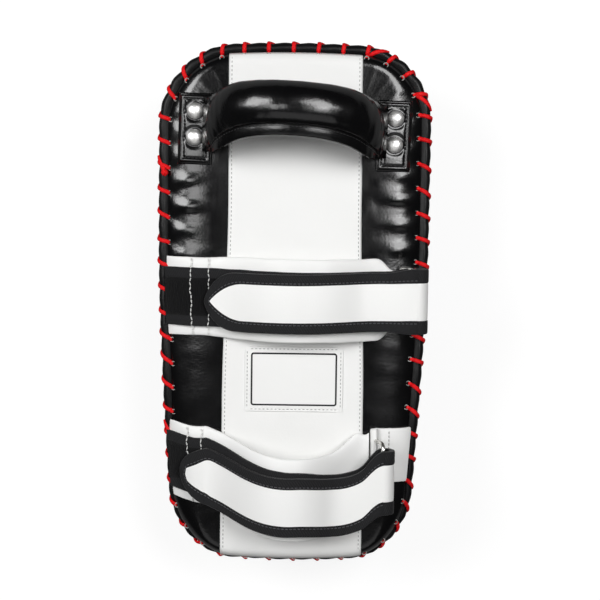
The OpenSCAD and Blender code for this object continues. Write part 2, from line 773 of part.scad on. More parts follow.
// A binding folds over one edge: section from its inner edge on top, round the edge, to its inner edge below
function binding_section(side, t) = let (
    outer = strap_width / 2, inner = outer - binding_width, edge = outer - binding_t, low = -seat_gap / 2,
    high = t + seat_gap / 2,
    points = [
        [inner, low - binding_t + seat_gap / 2], [outer, low - binding_t + seat_gap / 2],
        [outer, t + binding_t], [inner, t + binding_t], [inner, high], [edge, high], [edge, low], [inner, low]
    ]
) side > 0 ? points : [for (p = reversed(points)) [-p.x, p.y]];
binding_caps = [[0, 1, 6, 7], [1, 2, 5, 6], [2, 3, 4, 5]];
module band_binding(s) {
    color(tape_grey)
        for (side = [-1, 1])
            loft(
                strip_rings(s, band_path(s), binding_section(side, band_t)),
                caps = side > 0 ? binding_caps : [for (face = binding_caps) [for (j = reversed(face)) 7 - j]]
            );
}

// The flap: half width of its outer edge and of its white face at each station from the tip
nose_half = 7;
face_point = 4.5;
point_half = 0.6;
function tip_share(s, x) = clamp01((x + s[6]) / tip_length);
function flap_half(s, x) = mix(nose_half, strap_width / 2, sin(90 * tip_share(s, x)));
function face_half(s, x) = let (u = clamp01((x + s[6] - face_point) / tip_length))
    max(point_half, (strap_width / 2 - binding_width) * sin(90 * u));
module flap(s) {
    path = flap_path(s);
    m = miters(path);
    inset = binding_t + seat_gap;
    first = path[0] + unit(path[1] - path[0]) * inset;
    stations = concat([first], [for (i = [1:len(path) - 1]) path[i]]);
    color(white_leather)
        loft([
            for (i = [0:len(stations) - 1])
            let (p = stations[i], half = flap_half(s, p.x) - inset)
            [for (q = bar_section(-half, half, 0, flap_t)) on_flap(s, p, m[i], q[0], q[1])]
        ]);
}
// The flap's binding runs up one edge, round the tip and down the other
module flap_binding(s) {
    path = flap_path(s);
    m = miters(path);
    last = len(path) - 1;
    lean_x = [for (i = [0:last]) [path[i].x, m[i].x]];
    lean_z = [for (i = [0:last]) [path[i].x, m[i].y]];
    // A place on the flap from its plan point and its height over the underside
    function place(p, d) =
        on_flap(s, [p.x, lookup(p.x, path)], [lookup(p.x, lean_x), lookup(p.x, lean_z)], p.y, d);
    // The folded section between an outer and an inner plan point
    function folded(outer, inner) = let (
        lip = outer + unit(inner - outer) * binding_t,
        gap = seat_gap / 2
    ) [
        place(inner, -binding_t), place(outer, -binding_t), place(outer, flap_t + binding_t),
        place(inner, flap_t + binding_t), place(inner, flap_t + gap), place(lip, flap_t + gap),
        place(lip, -gap), place(inner, -gap)
    ];
    function edge_ring(i, side) = let (
        x = path[i].x, outer = flap_half(s, x),
        inner = max(point_half, min(outer - binding_width, face_half(s, x)))
    ) folded([x, side * outer], [x, side * inner]);
    tip = -s[6];
    nose = [for (side = [-1, 0, 1]) folded([tip, side * nose_half], [tip + face_point, side * point_half])];
    color(tape_grey)
        loft(
            concat([for (i = [last:-1:1]) edge_ring(i, -1)], nose, [for (i = [1:last]) edge_ring(i, 1)]),
            caps = binding_caps
        );
}
hook_length = 62;
module hook_tape(s) {
    path = [for (p = flap_path(s)) if (p.x > -s[6] + tip_length && p.x < -s[6] + tip_length + hook_length) p];
    m = miters(path);
    color(tape_grey)
        loft([
            for (i = [0:len(path) - 1])
            [for (q = bar_section(-tape_half, tape_half, -binding_t, -seat_gap)) on_flap(s, path[i], m[i], q[0], q[1])]
        ]);
}

// A ring of bent wire: two bars along Y, two short sides and four bends
module wire_ring(s) {
    root = ring_root(s);
    half = ring_length / 2 + wire_r;
    bar = 2 * (half - ring_bend);
    side = ring_reach - 2 * ring_bend;
    color(nickel)
        translate([root.x, s[0], root.y])
            rotate([0, -s[5], 0]) {
                for (x = [0, ring_reach])
                    translate([x, 0, 0])
                        rotate([90, 0, 0])
                            cylinder(r = wire_r, h = bar, center = true, $fn = round_fn);
                for (y = [-half, half])
                    translate([ring_reach / 2, y, 0])
                        rotate([0, 90, 0])
                            cylinder(r = wire_r, h = side, center = true, $fn = round_fn);
                for (k = [0:3])
                    translate([
                        ring_reach / 2 + corner_signs[k].x * side / 2,
                        corner_signs[k].y * (half - ring_bend),
                        0
                    ])
                        rotate(90 * k)
                            rotate_extrude(angle = 90, $fn = round_fn)
                                translate([ring_bend, 0])
                                    circle(wire_r, $fn = round_fn);
            }
}
// The tab: one strip of leather round the root bar, both its ends held at the laced edge
module ring_tab(s) {
    root = ring_root(s);
    wall_r = loop_r + ring_tab_t;
    under = side_path(tab_half(s), 1, root.x);
    edge = under[0];
    lay = seat_gap + ring_tab_t;
    over = [edge + [0, lay + ring_tab_t * 0.2], [root.x + wall_r * 0.5, root.y + loop_r * 0.95]];
    color(white_leather)
        translate([0, s[0], 0])
            rotate([90, 0, 0])
                linear_extrude(ring_tab_width, center = true)
                    difference() {
                        union() {
                            polygon(slab(reversed(under), seat_gap, lay - seat_gap / 2));
                            polygon(slab(reversed(over), 0, ring_tab_t));
                            translate(root)
                                circle(wall_r - seat_gap / 2, $fn = round_fn);
                        }
                        translate(root)
                            circle(loop_r, $fn = round_fn);
                    }
}

strike_cover();
strike_foam();
core_foam();
back_foam();
back_panel();
centre_panel();
edge_piping();
edge_lacing();
label_patch();
label_border();
handle_patch(-1);  // handle_patch_left
handle_patch(1);  // handle_patch_right
handle_tab(-1);  // handle_tab_left
handle_tab(1);  // handle_tab_right
rivets();
rivet_washers();
handle_sleeve();
handle_core();
liner(upper);  // upper_liner
band(upper);  // upper_band
loop_tape(upper);  // upper_loop_tape
band_binding(upper);  // upper_band_binding
flap(upper);  // upper_flap
flap_binding(upper);  // upper_flap_binding
hook_tape(upper);  // upper_hook_tape
wire_ring(upper);  // upper_ring
ring_tab(upper);  // upper_ring_tab
liner(lower);  // lower_liner
band(lower);  // lower_band
loop_tape(lower);  // lower_loop_tape
band_binding(lower);  // lower_band_binding
flap(lower);  // lower_flap
flap_binding(lower);  // lower_flap_binding
hook_tape(lower);  // lower_hook_tape
wire_ring(lower);  // lower_ring
ring_tab(lower);  // lower_ring_tab
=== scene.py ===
"""Thai pad, lying on its striking face: leather, lace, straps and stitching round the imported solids."""
import bisect
import math

import bmesh
import bpy
from mathutils import Matrix, Vector, noise


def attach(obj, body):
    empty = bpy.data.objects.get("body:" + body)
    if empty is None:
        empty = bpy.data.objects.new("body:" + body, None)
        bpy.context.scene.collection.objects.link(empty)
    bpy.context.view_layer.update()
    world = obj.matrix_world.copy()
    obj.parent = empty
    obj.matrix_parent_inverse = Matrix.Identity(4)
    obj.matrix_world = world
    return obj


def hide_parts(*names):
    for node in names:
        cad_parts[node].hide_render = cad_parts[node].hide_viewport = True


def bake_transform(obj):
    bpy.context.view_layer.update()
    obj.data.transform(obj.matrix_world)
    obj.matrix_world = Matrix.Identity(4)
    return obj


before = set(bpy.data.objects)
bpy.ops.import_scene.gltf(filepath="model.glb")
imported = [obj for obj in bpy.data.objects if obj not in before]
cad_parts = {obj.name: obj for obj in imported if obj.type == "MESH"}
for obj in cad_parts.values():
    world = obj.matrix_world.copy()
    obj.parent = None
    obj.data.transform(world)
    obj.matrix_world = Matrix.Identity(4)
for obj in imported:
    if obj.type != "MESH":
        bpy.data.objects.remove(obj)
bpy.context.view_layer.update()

# Sizes in millimetres, those of the solids with the give of soft leather and tape
MM = 0.001
PAD_LENGTH = 400.0
PAD_WIDTH = 207.0
FOOT_WIDTH = 187.0
TAPER_START = 50.0
TAPER_POWER = 1.6
CORNERS = (52.0, 57.0, 50.0, 48.0)
END_BOW = 6.0
LEATHER = 2.0
LIP_LOW = 89.9
DECK = 101.1
RIM_FLAT = 14.5
ROLL = 10.0
PIPING_R = 4.1
FACE_INSET = 36.0
FACE_ROUND = 30.0
WALL_INSET = 5.0
STITCHES = 58
LACE_START_SHARE = 0.333
LACE_WIDE = 1.55
LACE_THICK = 1.05

HANDLE_Y = 136.0
PIVOT_Z = 112.3
HANDLE_LEAN = 15.0
HANDLE_BOW = 7.3
HANDLE_TWIST = -0.03
TAB_DROP = 3.5
HANDLE_TURN = -1.5
TAB_LENGTH = 51.0
TAB_T = 3.0
PATCH_T = 1.5
RIVET_X = 75.5
RIVET_PITCH = 19.7
RIVET_R = 6.2
PLATE_SEAM = 3.4

STRAP_WIDTH = 44.5
BINDING_WIDTH = 8.5
LINER_WIDTH = 63.0
LINER_T = 5.0
BAND_T = 2.2
FLAP_T = 3.0
TIP_TAPE = 4.5
FOLD_R = 7.5
WIRE_R = 1.6
RING_LENGTH = 44.0
RING_REACH = 19.0
RING_BEND = 5.0
RING_TAB_WIDTH = 42.0
RING_TAB_T = 1.8

LABEL_WIDTH = 76.0
LABEL_HEIGHT = 51.0
LABEL_X = 1.5
LABEL_Y = -55.5

UP = Vector((0, 0, 1))


def clamp01(t):
    return max(0.0, min(1.0, t))


def mix(a, b, t):
    return a + (b - a) * t


def ease(low, high, x):
    """Nought below low, one above high, and a smooth rise between."""
    t = clamp01((x - low) / (high - low))
    return t * t * (3 - 2 * t)


def bump_at(x, centre, width):
    """A smooth hump of height one."""
    return math.exp(-((x - centre) / width) ** 2)


def circle(share):
    """Cosine and sine at a share of a full turn."""
    angle = 2 * math.pi * share
    return math.cos(angle), math.sin(angle)


def squarer(value, power):
    """A cosine or sine drawn toward one, which makes a rounded bar of a circle."""
    return math.copysign(abs(value) ** power, value)


def spline(keys, t):
    """A smooth curve through the keys, t from nought to one."""
    last = len(keys) - 1
    i = min(int(t * last), last - 1)
    f = t * last - i
    a, b, c, d = (keys[min(max(j, 0), last)] for j in (i - 1, i, i + 1, i + 2))
    straight = (c - a) * f
    square = (2 * a - 5 * b + 4 * c - d) * f ** 2
    cube = (3 * b - a - 3 * c + d) * f ** 3
    return 0.5 * ((2 * b) + straight + square + cube)


# Outline of the pad: a rounded rectangle whose ends bow and whose foot narrows
BASE_HALF = PAD_LENGTH / 2 - END_BOW


def side_scale(y):
    far = max(0.0, (TAPER_START - y) / (TAPER_START + PAD_LENGTH / 2 - CORNERS[-1]))
    return 1 - (1 - FOOT_WIDTH / PAD_WIDTH) * far ** TAPER_POWER


def half_width(y):
    return PAD_WIDTH / 2 * side_scale(y)


def outline():
    """Points of the edge, anticlockwise from the right side at the handle end."""
    corner_steps, end_steps, side_steps = 16, 30, 72
    signs = ((1, 1), (-1, 1), (-1, -1), (1, -1))
    arcs = []
    for k, radius in enumerate(CORNERS):
        centre = Vector((signs[k][0] * (PAD_WIDTH / 2 - radius), signs[k][1] * (BASE_HALF - radius)))
        angles = [math.radians(90 * (k + i / corner_steps)) for i in range(corner_steps + 1)]
        arcs.append([centre + radius * Vector((math.cos(a), math.sin(a))) for a in angles])
    points = []
    for k, arc in enumerate(arcs):
        points += arc
        steps = end_steps if k % 2 == 0 else side_steps
        stop = arcs[(k + 1) % 4][0]
        points += [arc[-1].lerp(stop, i / steps) for i in range(1, steps)]
    bow = END_BOW / BASE_HALF
    shaped = []
    for p in points:
        stretch = 1 + bow * (1 - (2 * p.x / PAD_WIDTH) ** 2)
        shaped.append(Vector((p.x * side_scale(p.y), p.y * stretch)))
    return shaped


EDGE = outline()
EDGE_N = len(EDGE)
EDGE_OUT = []
EDGE_RUN = [0.0]
for index in range(EDGE_N):
    ahead = EDGE[(index + 1) % EDGE_N]
    along = ahead - EDGE[index - 1]
    EDGE_OUT.append(Vector((along.y, -along.x)).normalized())
    EDGE_RUN.append(EDGE_RUN[-1] + (ahead - EDGE[index]).length)
EDGE_LENGTH = EDGE_RUN[-1]
PITCH = EDGE_LENGTH / STITCHES
LACE_START = EDGE_LENGTH * LACE_START_SHARE


def edge_at(run):
    """Point of the edge and the direction out of the pad there."""
    run %= EDGE_LENGTH
    i = min(bisect.bisect_right(EDGE_RUN, run) - 1, EDGE_N - 1)
    t = (run - EDGE_RUN[i]) / (EDGE_RUN[i + 1] - EDGE_RUN[i])
    j = (i + 1) % EDGE_N
    return EDGE[i].lerp(EDGE[j], t), EDGE_OUT[i].lerp(EDGE_OUT[j], t).normalized()


def edge_spot(x, y):
    """Run along the edge and inset of a place on the pad."""
    spot = Vector((x, y))
    i = min(range(EDGE_N), key=lambda k: (EDGE[k] - spot).length_squared)
    along = Vector((-EDGE_OUT[i].y, EDGE_OUT[i].x))
    return EDGE_RUN[i] + (spot - EDGE[i]).dot(along), (EDGE[i] - spot).dot(EDGE_OUT[i])


def tucked(y, side):
    """How far the laced edge is drawn in under the back: all the way at the foot, sooner on the left."""
    return ease(55, 196, -y - 18 * side)


def tuck_at(run):
    point, out = edge_at(run)
    return tucked(point.y, out.x)


def stitch_phase(run):
    """One at a lace hole, minus one midway between two."""
    return math.cos(2 * math.pi * (LACE_START - run) / PITCH)


def panel_start(tuck):
    """Inset at which the back panel comes out of the rolled edge."""
    return mix(6.6, 0.9, tuck)


def dome_z(inset, tuck, side=1.0):
    """Height of the stuffed back: steep at the rolled edge, then a crown that is broader at the sides."""
    first, low = panel_start(tuck), mix(92.6, 87.5, tuck)
    t = clamp01((inset - first) / mix(10.5, 39.0, side ** 6))
    return low + (DECK - low) * (1 - (1 - t) ** 2.6) ** 0.62


def hole_inset(tuck, side):
    """Inset of the lace holes, which the tuck carries round the edge."""
    return mix(8.7, 2.2, tuck) + 0.6 * side


def piping_centre(tuck):
    """Inset and height of the middle of the rolled edge."""
    return mix(4.3, 3.0, tuck), mix(90.6, 85.6, tuck)


def pucker(run, inset):
    """The leather dips at each lace hole and swells between, most beside the handle."""
    pull = stitch_phase(run)
    slack = mix(0.05, 1.0, bump_at(edge_at(run)[0].y, 80, 65))
    dip = 0.8 * max(0.0, pull) ** 2 * bump_at(inset, 11, 5)
    swell = 1.1 * max(0.0, -pull) * bump_at(inset, 22, 10)
    return slack * (swell - dip)


def ripple(x, y):
    """Soft creases that run across the pad, deepest between the handle and the upper strap."""
    slack = mix(0.2, 1.5, bump_at(y, 85, 55))
    broad = noise.noise(Vector((x * 0.02, y * 0.07, 3.1)))
    fine = noise.noise(Vector((x * 0.035 + 7, y * 0.17, 9.2)))
    return slack * (0.55 * broad + 0.28 * fine)


def back_z(x, y):
    run, inset = edge_spot(x, y)
    _, out = edge_at(run)
    return dome_z(inset, tuck_at(run), out.x) + pucker(run, inset)


# Making pieces
def formed(bm, columns, rows, place, size=(1.0, 1.0)):
    """A grid of faces whose points are moved to place(u, v); its UV map is in millimetres of size."""
    uv = bm.loops.layers.uv.verify()
    made = bmesh.ops.create_grid(bm, x_segments=columns, y_segments=rows, size=0.5)["verts"]
    for face in {f for v in made for f in v.link_faces}:
        for loop in face.loops:
            loop[uv].uv = ((loop.vert.co.x + 0.5) * size[0], (loop.vert.co.y + 0.5) * size[1])
    for vert in made:
        vert.co = place(vert.co.x + 0.5, vert.co.y + 0.5)
    bmesh.ops.remove_doubles(bm, verts=made, dist=1e-4)


def close_ends(bm, low=-math.inf, high=math.inf):
    """Fills the open ends of a shape that lie between two heights."""
    rims = [e for e in bm.edges if e.is_boundary and low < e.verts[0].co.z < high]
    bmesh.ops.holes_fill(bm, edges=rims, sides=0)


def finish_piece(bm, name, material, nodes=(), upward=False, sharp=50):
    """Makes the object from a bmesh in millimetres, with its faces outward."""
    bmesh.ops.recalc_face_normals(bm, faces=bm.faces)
    if upward and sum(f.normal.z * f.calc_area() for f in bm.faces) < 0:
        bmesh.ops.reverse_faces(bm, faces=bm.faces)
    bmesh.ops.scale(bm, vec=(MM, MM, MM), verts=bm.verts)
    for face in bm.faces:
        face.smooth = True
    mesh = bpy.data.meshes.new(name)
    bm.to_mesh(mesh)
    bm.free()
    mesh.set_sharp_from_angle(angle=math.radians(sharp))
    mesh.materials.append(material)
    piece = bpy.data.objects.new(name, mesh)
    bpy.context.scene.collection.objects.link(piece)
    if nodes:
        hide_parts(*nodes)
    return piece


def formed_piece(name, material, nodes, grid, place, size=(1.0, 1.0)):
    """A piece of one formed grid, closed at its ends."""
    bm = bmesh.new()
    formed(bm, *grid, place, size)
    close_ends(bm)
    return finish_piece(bm, name, material, nodes)


def walled(piece, thickness):
    """Gives a sheet its thickness, below its face."""
    wall = piece.modifiers.new("Wall", "SOLIDIFY")
    wall.thickness = thickness * MM
    wall.offset = -1
    return piece


def rounded_loop(corners, radius, side_steps=1):
    """Points round a box with rounded corners; every second side is cut into steps."""
    arc_steps = 8
    route = []
    for k, corner in enumerate(corners):
        turns = [math.radians(90 * (k + i / arc_steps)) for i in range(arc_steps + 1)]
        arms = [radius * Vector((math.cos(a), math.sin(a))) for a in turns]
        route += [Vector(corner) + arm for arm in arms]
        if k % 2:
            start, stop = route[-1], Vector(corners[(k + 1) % 4]) + arms[-1]
            route += [start.lerp(stop, i / side_steps) for i in range(1, side_steps)]
    return route


def loop_at(route, u):
    """A point of a closed loop and the direction out of it."""
    count = len(route)
    i = round(u * count)
    step = route[(i + 1) % count] - route[i - 1]
    return route[i % count], Vector((step.y, -step.x)).normalized()


def box_lines(left, right, low, high, steps, margin, place):
    """The four sides of a sewn box as lines of (place, up) pairs, each short of its corners by a share."""
    corners = ((left, low), (right, low), (right, high), (left, high))
    for (x0, y0), (x1, y1) in zip(corners, corners[1:] + corners[:1]):
        shares = [mix(margin, 1 - margin, i / steps) for i in range(steps + 1)]
        yield [(place(mix(x0, x1, t), mix(y0, y1, t)), UP) for t in shares]


def sew(bm, line, pitch, thread, share=0.72, wander=0.0):
    """A row of stitches along a line of (place, up) pairs."""
    runs = [0.0]
    for (a, _), (b, _) in zip(line, line[1:]):
        runs.append(runs[-1] + (b - a).length)
    count = max(1, round(runs[-1] / pitch))
    step = runs[-1] / count

    def at(run):
        i = min(max(bisect.bisect_right(runs, run) - 1, 0), len(line) - 2)
        t = (run - runs[i]) / max(runs[i + 1] - runs[i], 1e-9)
        return line[i][0].lerp(line[i + 1][0], t), line[i][1].lerp(line[i + 1][1], t)

    for k in range(count):
        head, up = at((k + 0.5 - share / 2) * step)
        tail, _ = at((k + 0.5 + share / 2) * step)
        ahead = tail - head
        side = up.cross(ahead).normalized()
        turn = wander * (1 if k % 2 else -1)
        head, tail = head + side * turn, tail - side * turn
        x_axis = (tail - head).normalized()
        y_axis = up.cross(x_axis).normalized()
        z_axis = x_axis.cross(y_axis)
        spin = Matrix((x_axis, y_axis, z_axis)).transposed().to_4x4()
        shape = Matrix.Diagonal(((tail - head).length / 2 + thread / 4, thread / 2, thread / 2, 1))
        place = Matrix.Translation((head + tail) / 2) @ spin @ shape
        bmesh.ops.create_uvsphere(bm, u_segments=6, v_segments=5, radius=1, matrix=place)


def stitched(name, thread, slot, lines, pitch, size, **way):
    """A piece of stitches along several lines."""
    bm = bmesh.new()
    for line in lines:
        sew(bm, line, pitch, size, **way)
    return finish_piece(bm, name, thread)


# Materials
def colour(code):
    """An sRGB hex code as linear red, green, blue and alpha."""
    parts = [int(code[i:i + 2], 16) / 255 for i in (1, 3, 5)]
    return (*[c / 12.92 if c <= 0.04045 else ((c + 0.055) / 1.055) ** 2.4 for c in parts], 1.0)


def add(tree, kind, inputs=None, **settings):
    """Adds a node with its settings; an input is given a value or is joined to a socket."""
    node = tree.nodes.new(kind)
    for key, value in settings.items():
        setattr(node, key, value)
    for key, value in (inputs or {}).items():
        if isinstance(value, bpy.types.NodeSocket):
            tree.links.new(value, node.inputs[key])
        else:
            node.inputs[key].default_value = value
    return node


def new_material(name):
    material = bpy.data.materials.new(name)
    material.use_nodes = True
    tree = material.node_tree
    tree.nodes.clear()
    return material, tree


def solid_place(tree):
    """Texture coordinates in the metres of the piece."""
    return add(tree, "ShaderNodeTexCoord").outputs["Object"]


def cloth_place(tree):
    """Texture coordinates in millimetres along and across a tape."""
    return add(tree, "ShaderNodeUVMap").outputs["UV"]


def slanted(tree, place, degrees):
    turn = {"Vector": place, "Rotation": (0, 0, math.radians(degrees))}
    return add(tree, "ShaderNodeMapping", turn).outputs["Vector"]


def stripes(tree, place, width, distortion, detail=2, direction="X"):
    """Waves of a width, in the unit of the coordinates."""
    return add(tree, "ShaderNodeTexWave", {
        "Vector": place, "Scale": math.pi / (10 * width), "Distortion": distortion, "Detail": detail,
    }, bands_direction=direction).outputs["Fac"]


def mottle(tree, place, scale, detail, roughness=0.5):
    return add(tree, "ShaderNodeTexNoise", {
        "Vector": place, "Scale": scale, "Detail": detail, "Roughness": roughness,
    }).outputs["Fac"]


def cells(tree, place, scale, feature="F1"):
    inputs = {"Vector": place, "Scale": scale}
    return add(tree, "ShaderNodeTexVoronoi", inputs, feature=feature).outputs["Distance"]


def maths(tree, operation, a, b):
    return add(tree, "ShaderNodeMath", {0: a, 1: b}, operation=operation).outputs["Value"]


def between(tree, share, low, high):
    """A colour between two sRGB codes."""
    inputs = {"Factor": share, "A": colour(low), "B": colour(high)}
    tone = add(tree, "ShaderNodeMix", inputs, data_type="RGBA")
    return next(socket for socket in tone.outputs if socket.type == "RGBA")


def close_material(tree, inputs, height, distance, strength):
    """Joins a height to the bump of a principled shader with these inputs."""
    relief = add(tree, "ShaderNodeBump", {"Height": height, "Distance": distance * MM, "Strength": strength})
    shader = add(tree, "ShaderNodeBsdfPrincipled", {**inputs, "Normal": relief.outputs["Normal"]})
    add(tree, "ShaderNodeOutputMaterial", {"Surface": shader.outputs["BSDF"]})


def coated_leather(name, base, worn, roughness, grain_mm, grain_depth, shine):
    """Leather with a sprayed and plated film: pebbled grain, soft creases and a broken gloss.

    The real grain is about half a millimetre and is drawn coarser so that it shows.
    """
    crease_mm, blotch_mm = 22, 60
    material, tree = new_material(name)
    place = solid_place(tree)
    grain = maths(tree, "MULTIPLY", cells(tree, place, 1000 / grain_mm, "SMOOTH_F1"), grain_depth)
    creases = mottle(tree, place, 1000 / crease_mm, 5, 0.62)
    blotch = mottle(tree, place, 1000 / blotch_mm, 3)
    gloss = add(tree, "ShaderNodeMapRange", {
        "Value": creases, "From Min": 0.3, "From Max": 0.7,
        "To Min": roughness * 0.82, "To Max": roughness * 1.25,
    })
    close_material(tree, {
        "Base Color": between(tree, blotch, base, worn),
        "Roughness": gloss.outputs["Result"],
        "Specular IOR Level": shine,
    }, maths(tree, "ADD", creases, grain), 0.5, 0.24)
    return material


def woven_tape(name, base, light, rib_mm):
    """Woven polyester tape: a fine twill whose ribs cross the tape aslant, dull with a slight sheen."""
    material, tree = new_material(name)
    place = cloth_place(tree)
    ribs = stripes(tree, slanted(tree, place, 58), rib_mm, 0.6, 1)
    weave = maths(tree, "MULTIPLY", ribs, mottle(tree, place, 1.6, 4))
    close_material(tree, {
        "Base Color": between(tree, weave, base, light), "Roughness": 0.82, "Specular IOR Level": 0.12,
        "Sheen Weight": 0.12, "Sheen Roughness": 0.4, "IOR": 1.45,
    }, weave, 0.35, 0.7)
    return material


def brushed_loop(name, base, light, tuft_mm):
    """Hook and loop tape: matted nylon tufts that swallow light."""
    material, tree = new_material(name)
    place = cloth_place(tree)
    tufts = maths(tree, "MULTIPLY", cells(tree, place, 1 / tuft_mm), mottle(tree, place, 0.7, 6, 0.7))
    close_material(tree, {
        "Base Color": between(tree, tufts, base, light), "Roughness": 0.95, "Specular IOR Level": 0.12,
        "Sheen Weight": 0.08, "Sheen Roughness": 0.6, "IOR": 1.5,
    }, tufts, 0.8, 0.9)
    return material


def braided_cord(name, base, shade, plait_mm):
    """Flat braided lace: slanted plaits across the lace, dyed through, slightly waxed."""
    material, tree = new_material(name)
    plaits = stripes(tree, slanted(tree, cloth_place(tree), 35), plait_mm, 0.8)
    close_material(tree, {
        "Base Color": between(tree, plaits, shade, base), "Roughness": 0.6, "Specular IOR Level": 0.25,
    }, plaits, 0.25, 0.6)
    return material


def spun_thread(name, base, shade):
    """Bonded polyester thread: two plies twisted together, with a low shine."""
    ply_mm = 0.8
    material, tree = new_material(name)
    plies = stripes(tree, solid_place(tree), ply_mm * MM, 1.5, direction="DIAGONAL")
    close_material(tree, {
        "Base Color": between(tree, plies, shade, base), "Roughness": 0.6, "IOR": 1.5,
    }, plies, 0.15, 0.5)
    return material


def plated_steel(name, base, roughness, scratch_mm):
    """Nickel plate on steel: bright, with hairline rubs that blur the reflections unevenly."""
    material, tree = new_material(name)
    rubs = mottle(tree, solid_place(tree), 1000 / scratch_mm, 6, 0.7)
    haze = add(tree, "ShaderNodeMapRange", {
        "Value": rubs, "To Min": roughness * 0.6, "To Max": roughness * 1.5,
    })
    close_material(tree, {
        "Base Color": colour(base), "Metallic": 1.0, "Roughness": haze.outputs["Result"],
    }, rubs, 0.03, 0.3)
    return material


def closed_cell_foam(name, base, pore):
    """Cut closed-cell foam or leather: a dull skin of fine open pores."""
    pore_mm = 1.5
    material, tree = new_material(name)
    pores = cells(tree, solid_place(tree), 1000 / pore_mm)
    close_material(tree, {"Base Color": between(tree, pores, pore, base), "Roughness": 0.9}, pores, 0.4, 0.8)
    return material


BLACK_LEATHER = coated_leather("black_coated_leather", "#030304", "#060607", 0.19, 1.5, 0.4, 0.65)
ROLLED_LEATHER = coated_leather("black_rolled_edge_leather", "#040405", "#070708", 0.42, 1.3, 0.5, 0.25)
WHITE_LEATHER = coated_leather("white_coated_leather", "#f6f6f5", "#f2f2f0", 0.46, 1.4, 0.35, 0.4)
BINDING = woven_tape("black_woven_binding", "#1d1d1e", "#333335", 0.8)
WEBBING = woven_tape("black_strap_webbing", "#121213", "#202022", 1.4)
LOOP = brushed_loop("black_loop_fabric", "#040405", "#0e0e10", 0.9)
HOOK = brushed_loop("black_hook_tape", "#0b0b0c", "#222225", 1.3)
LACE = braided_cord("red_braided_lace", "#fa0410", "#d2040c", 1.1)
WHITE_THREAD = spun_thread("white_bonded_thread", "#f0f0ee", "#cfcfcc")
# The grey of this thread is painted shade: it stands for the shadow in the stitch holes of the white leather.
GREY_THREAD_PAINTED_SHADE = spun_thread("grey_thread_painted_hole_shade", "#b4b4b2", "#8e8e8c")
BLACK_THREAD = spun_thread("black_bonded_thread", "#0a0a0a", "#1e1e20")
CHARCOAL_THREAD = spun_thread("charcoal_bonded_thread", "#56565a", "#36363a")
RIVET_METAL = plated_steel("bright_nickel_rivet", "#fbfaf8", 0.4, 3.0)
RING_METAL = plated_steel("nickel_ring_wire", "#d9d8d4", 0.22, 2.0)
FOAM = closed_cell_foam("grey_closed_cell_foam", "#8d8f93", "#5f6166")
# Pale rim colour: partly the punched leather core, partly a painted glint on the edge of each lace hole.
PALE_EDGE_PAINTED_GLINT = closed_cell_foam("punched_edge_painted_glint", "#b9b6b2", "#77736f")
INK = coated_leather("black_label_border", "#101012", "#161618", 0.5, 1.0, 0.2, 0.3)


# The pad: striking face, back panel, centre panel and foam
def ring_place(run, inset, z):
    point, out = edge_at(run)
    return Vector((point.x - out.x * inset, point.y - out.y * inset, z))


def strike_cover():
    """The shell of the striking face and the walls, gathered under the laced seam."""
    face_steps, wall_steps = 9, 12
    flat_margin, lip_inset = 2.0, 5.0
    profile = [Vector((FACE_INSET + flat_margin, 0.0))]
    profile += [
        Vector((mix(FACE_INSET, WALL_INSET, math.sin(a)), FACE_ROUND * (1 - math.cos(a))))
        for a in (math.pi / 2 * i / face_steps for i in range(face_steps + 1))
    ]
    profile += [
        Vector((mix(WALL_INSET, RIM_FLAT, (i / wall_steps) ** 3), mix(FACE_ROUND, LIP_LOW, i / wall_steps)))
        for i in range(1, wall_steps + 1)
    ]
    profile.append(Vector((lip_inset, LIP_LOW)))
    rows = len(profile) - 1

    def place(u, v):
        run = LACE_START - u * EDGE_LENGTH
        spot = profile[round(v * rows)]
        point, _ = edge_at(run)
        tuck = tuck_at(run)
        gather = ease(45, 86, spot.y) * (1 - ease(86, 90, spot.y))
        slack = ease(2, 20, spot.y) * (1 - ease(70, 89, spot.y))
        sag = noise.noise(Vector((point.x * 0.02, point.y * 0.02, spot.y * 0.045)))
        inset = spot.x + 0.9 * gather * stitch_phase(run) + 0.8 * sag * slack
        inset -= tuck * ease(70, LIP_LOW, spot.y)
        return ring_place(run, inset, spot.y - mix(1.0, 5.0, tuck) * ease(60, LIP_LOW, spot.y))

    bm = bmesh.new()
    formed(bm, STITCHES * 6, rows, place)
    close_ends(bm, high=1.0)
    piece = finish_piece(bm, "strike_cover_leather", BLACK_LEATHER, ["strike_cover"])
    lowest = min(piece.data.polygons, key=lambda face: face.center.z)
    if lowest.normal.z > 0:
        piece.data.flip_normals()
    walled(piece, LEATHER)
    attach(piece, "pad")


def back_panel():
    """The black back, gathered at every lace hole."""
    rows = 34
    last = 46.0

    def place(u, v):
        run = LACE_START - u * EDGE_LENGTH
        tuck = tuck_at(run)
        inset = mix(panel_start(tuck), last, v ** 1.7)
        _, out = edge_at(run)
        height = dome_z(inset, tuck, out.x) + pucker(run, inset) * ease(0, 4, inset - panel_start(tuck))
        p = ring_place(run, inset, height)
        p.z += ripple(p.x, p.y) * ease(12, 24, inset) * (1 - ease(40, 46, inset))
        return p

    bm = bmesh.new()
    formed(bm, STITCHES * 8, rows, place)
    close_ends(bm, low=DECK - 1)
    piece = finish_piece(
        bm, "back_panel_leather", BLACK_LEATHER, ["back_panel"], upward=True,
    )
    walled(piece, LEATHER)
    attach(piece, "pad")


def end_reach(x):
    return PAD_LENGTH / 2 - END_BOW * (2 * x / PAD_WIDTH) ** 2


# The centre panel's sides, as y and x from the foot to the handle end
PANEL_LEFT = [Vector((-54.2, -193.0)), Vector((-53.6, -75.0)), Vector((-49.8, 80.0)), Vector((-50.2, 193.0))]
PANEL_RIGHT = [Vector((55.3, -193.0)), Vector((54.8, -75.0)), Vector((51.2, 80.0)), Vector((50.4, 193.0))]
PANEL_T = 1.3


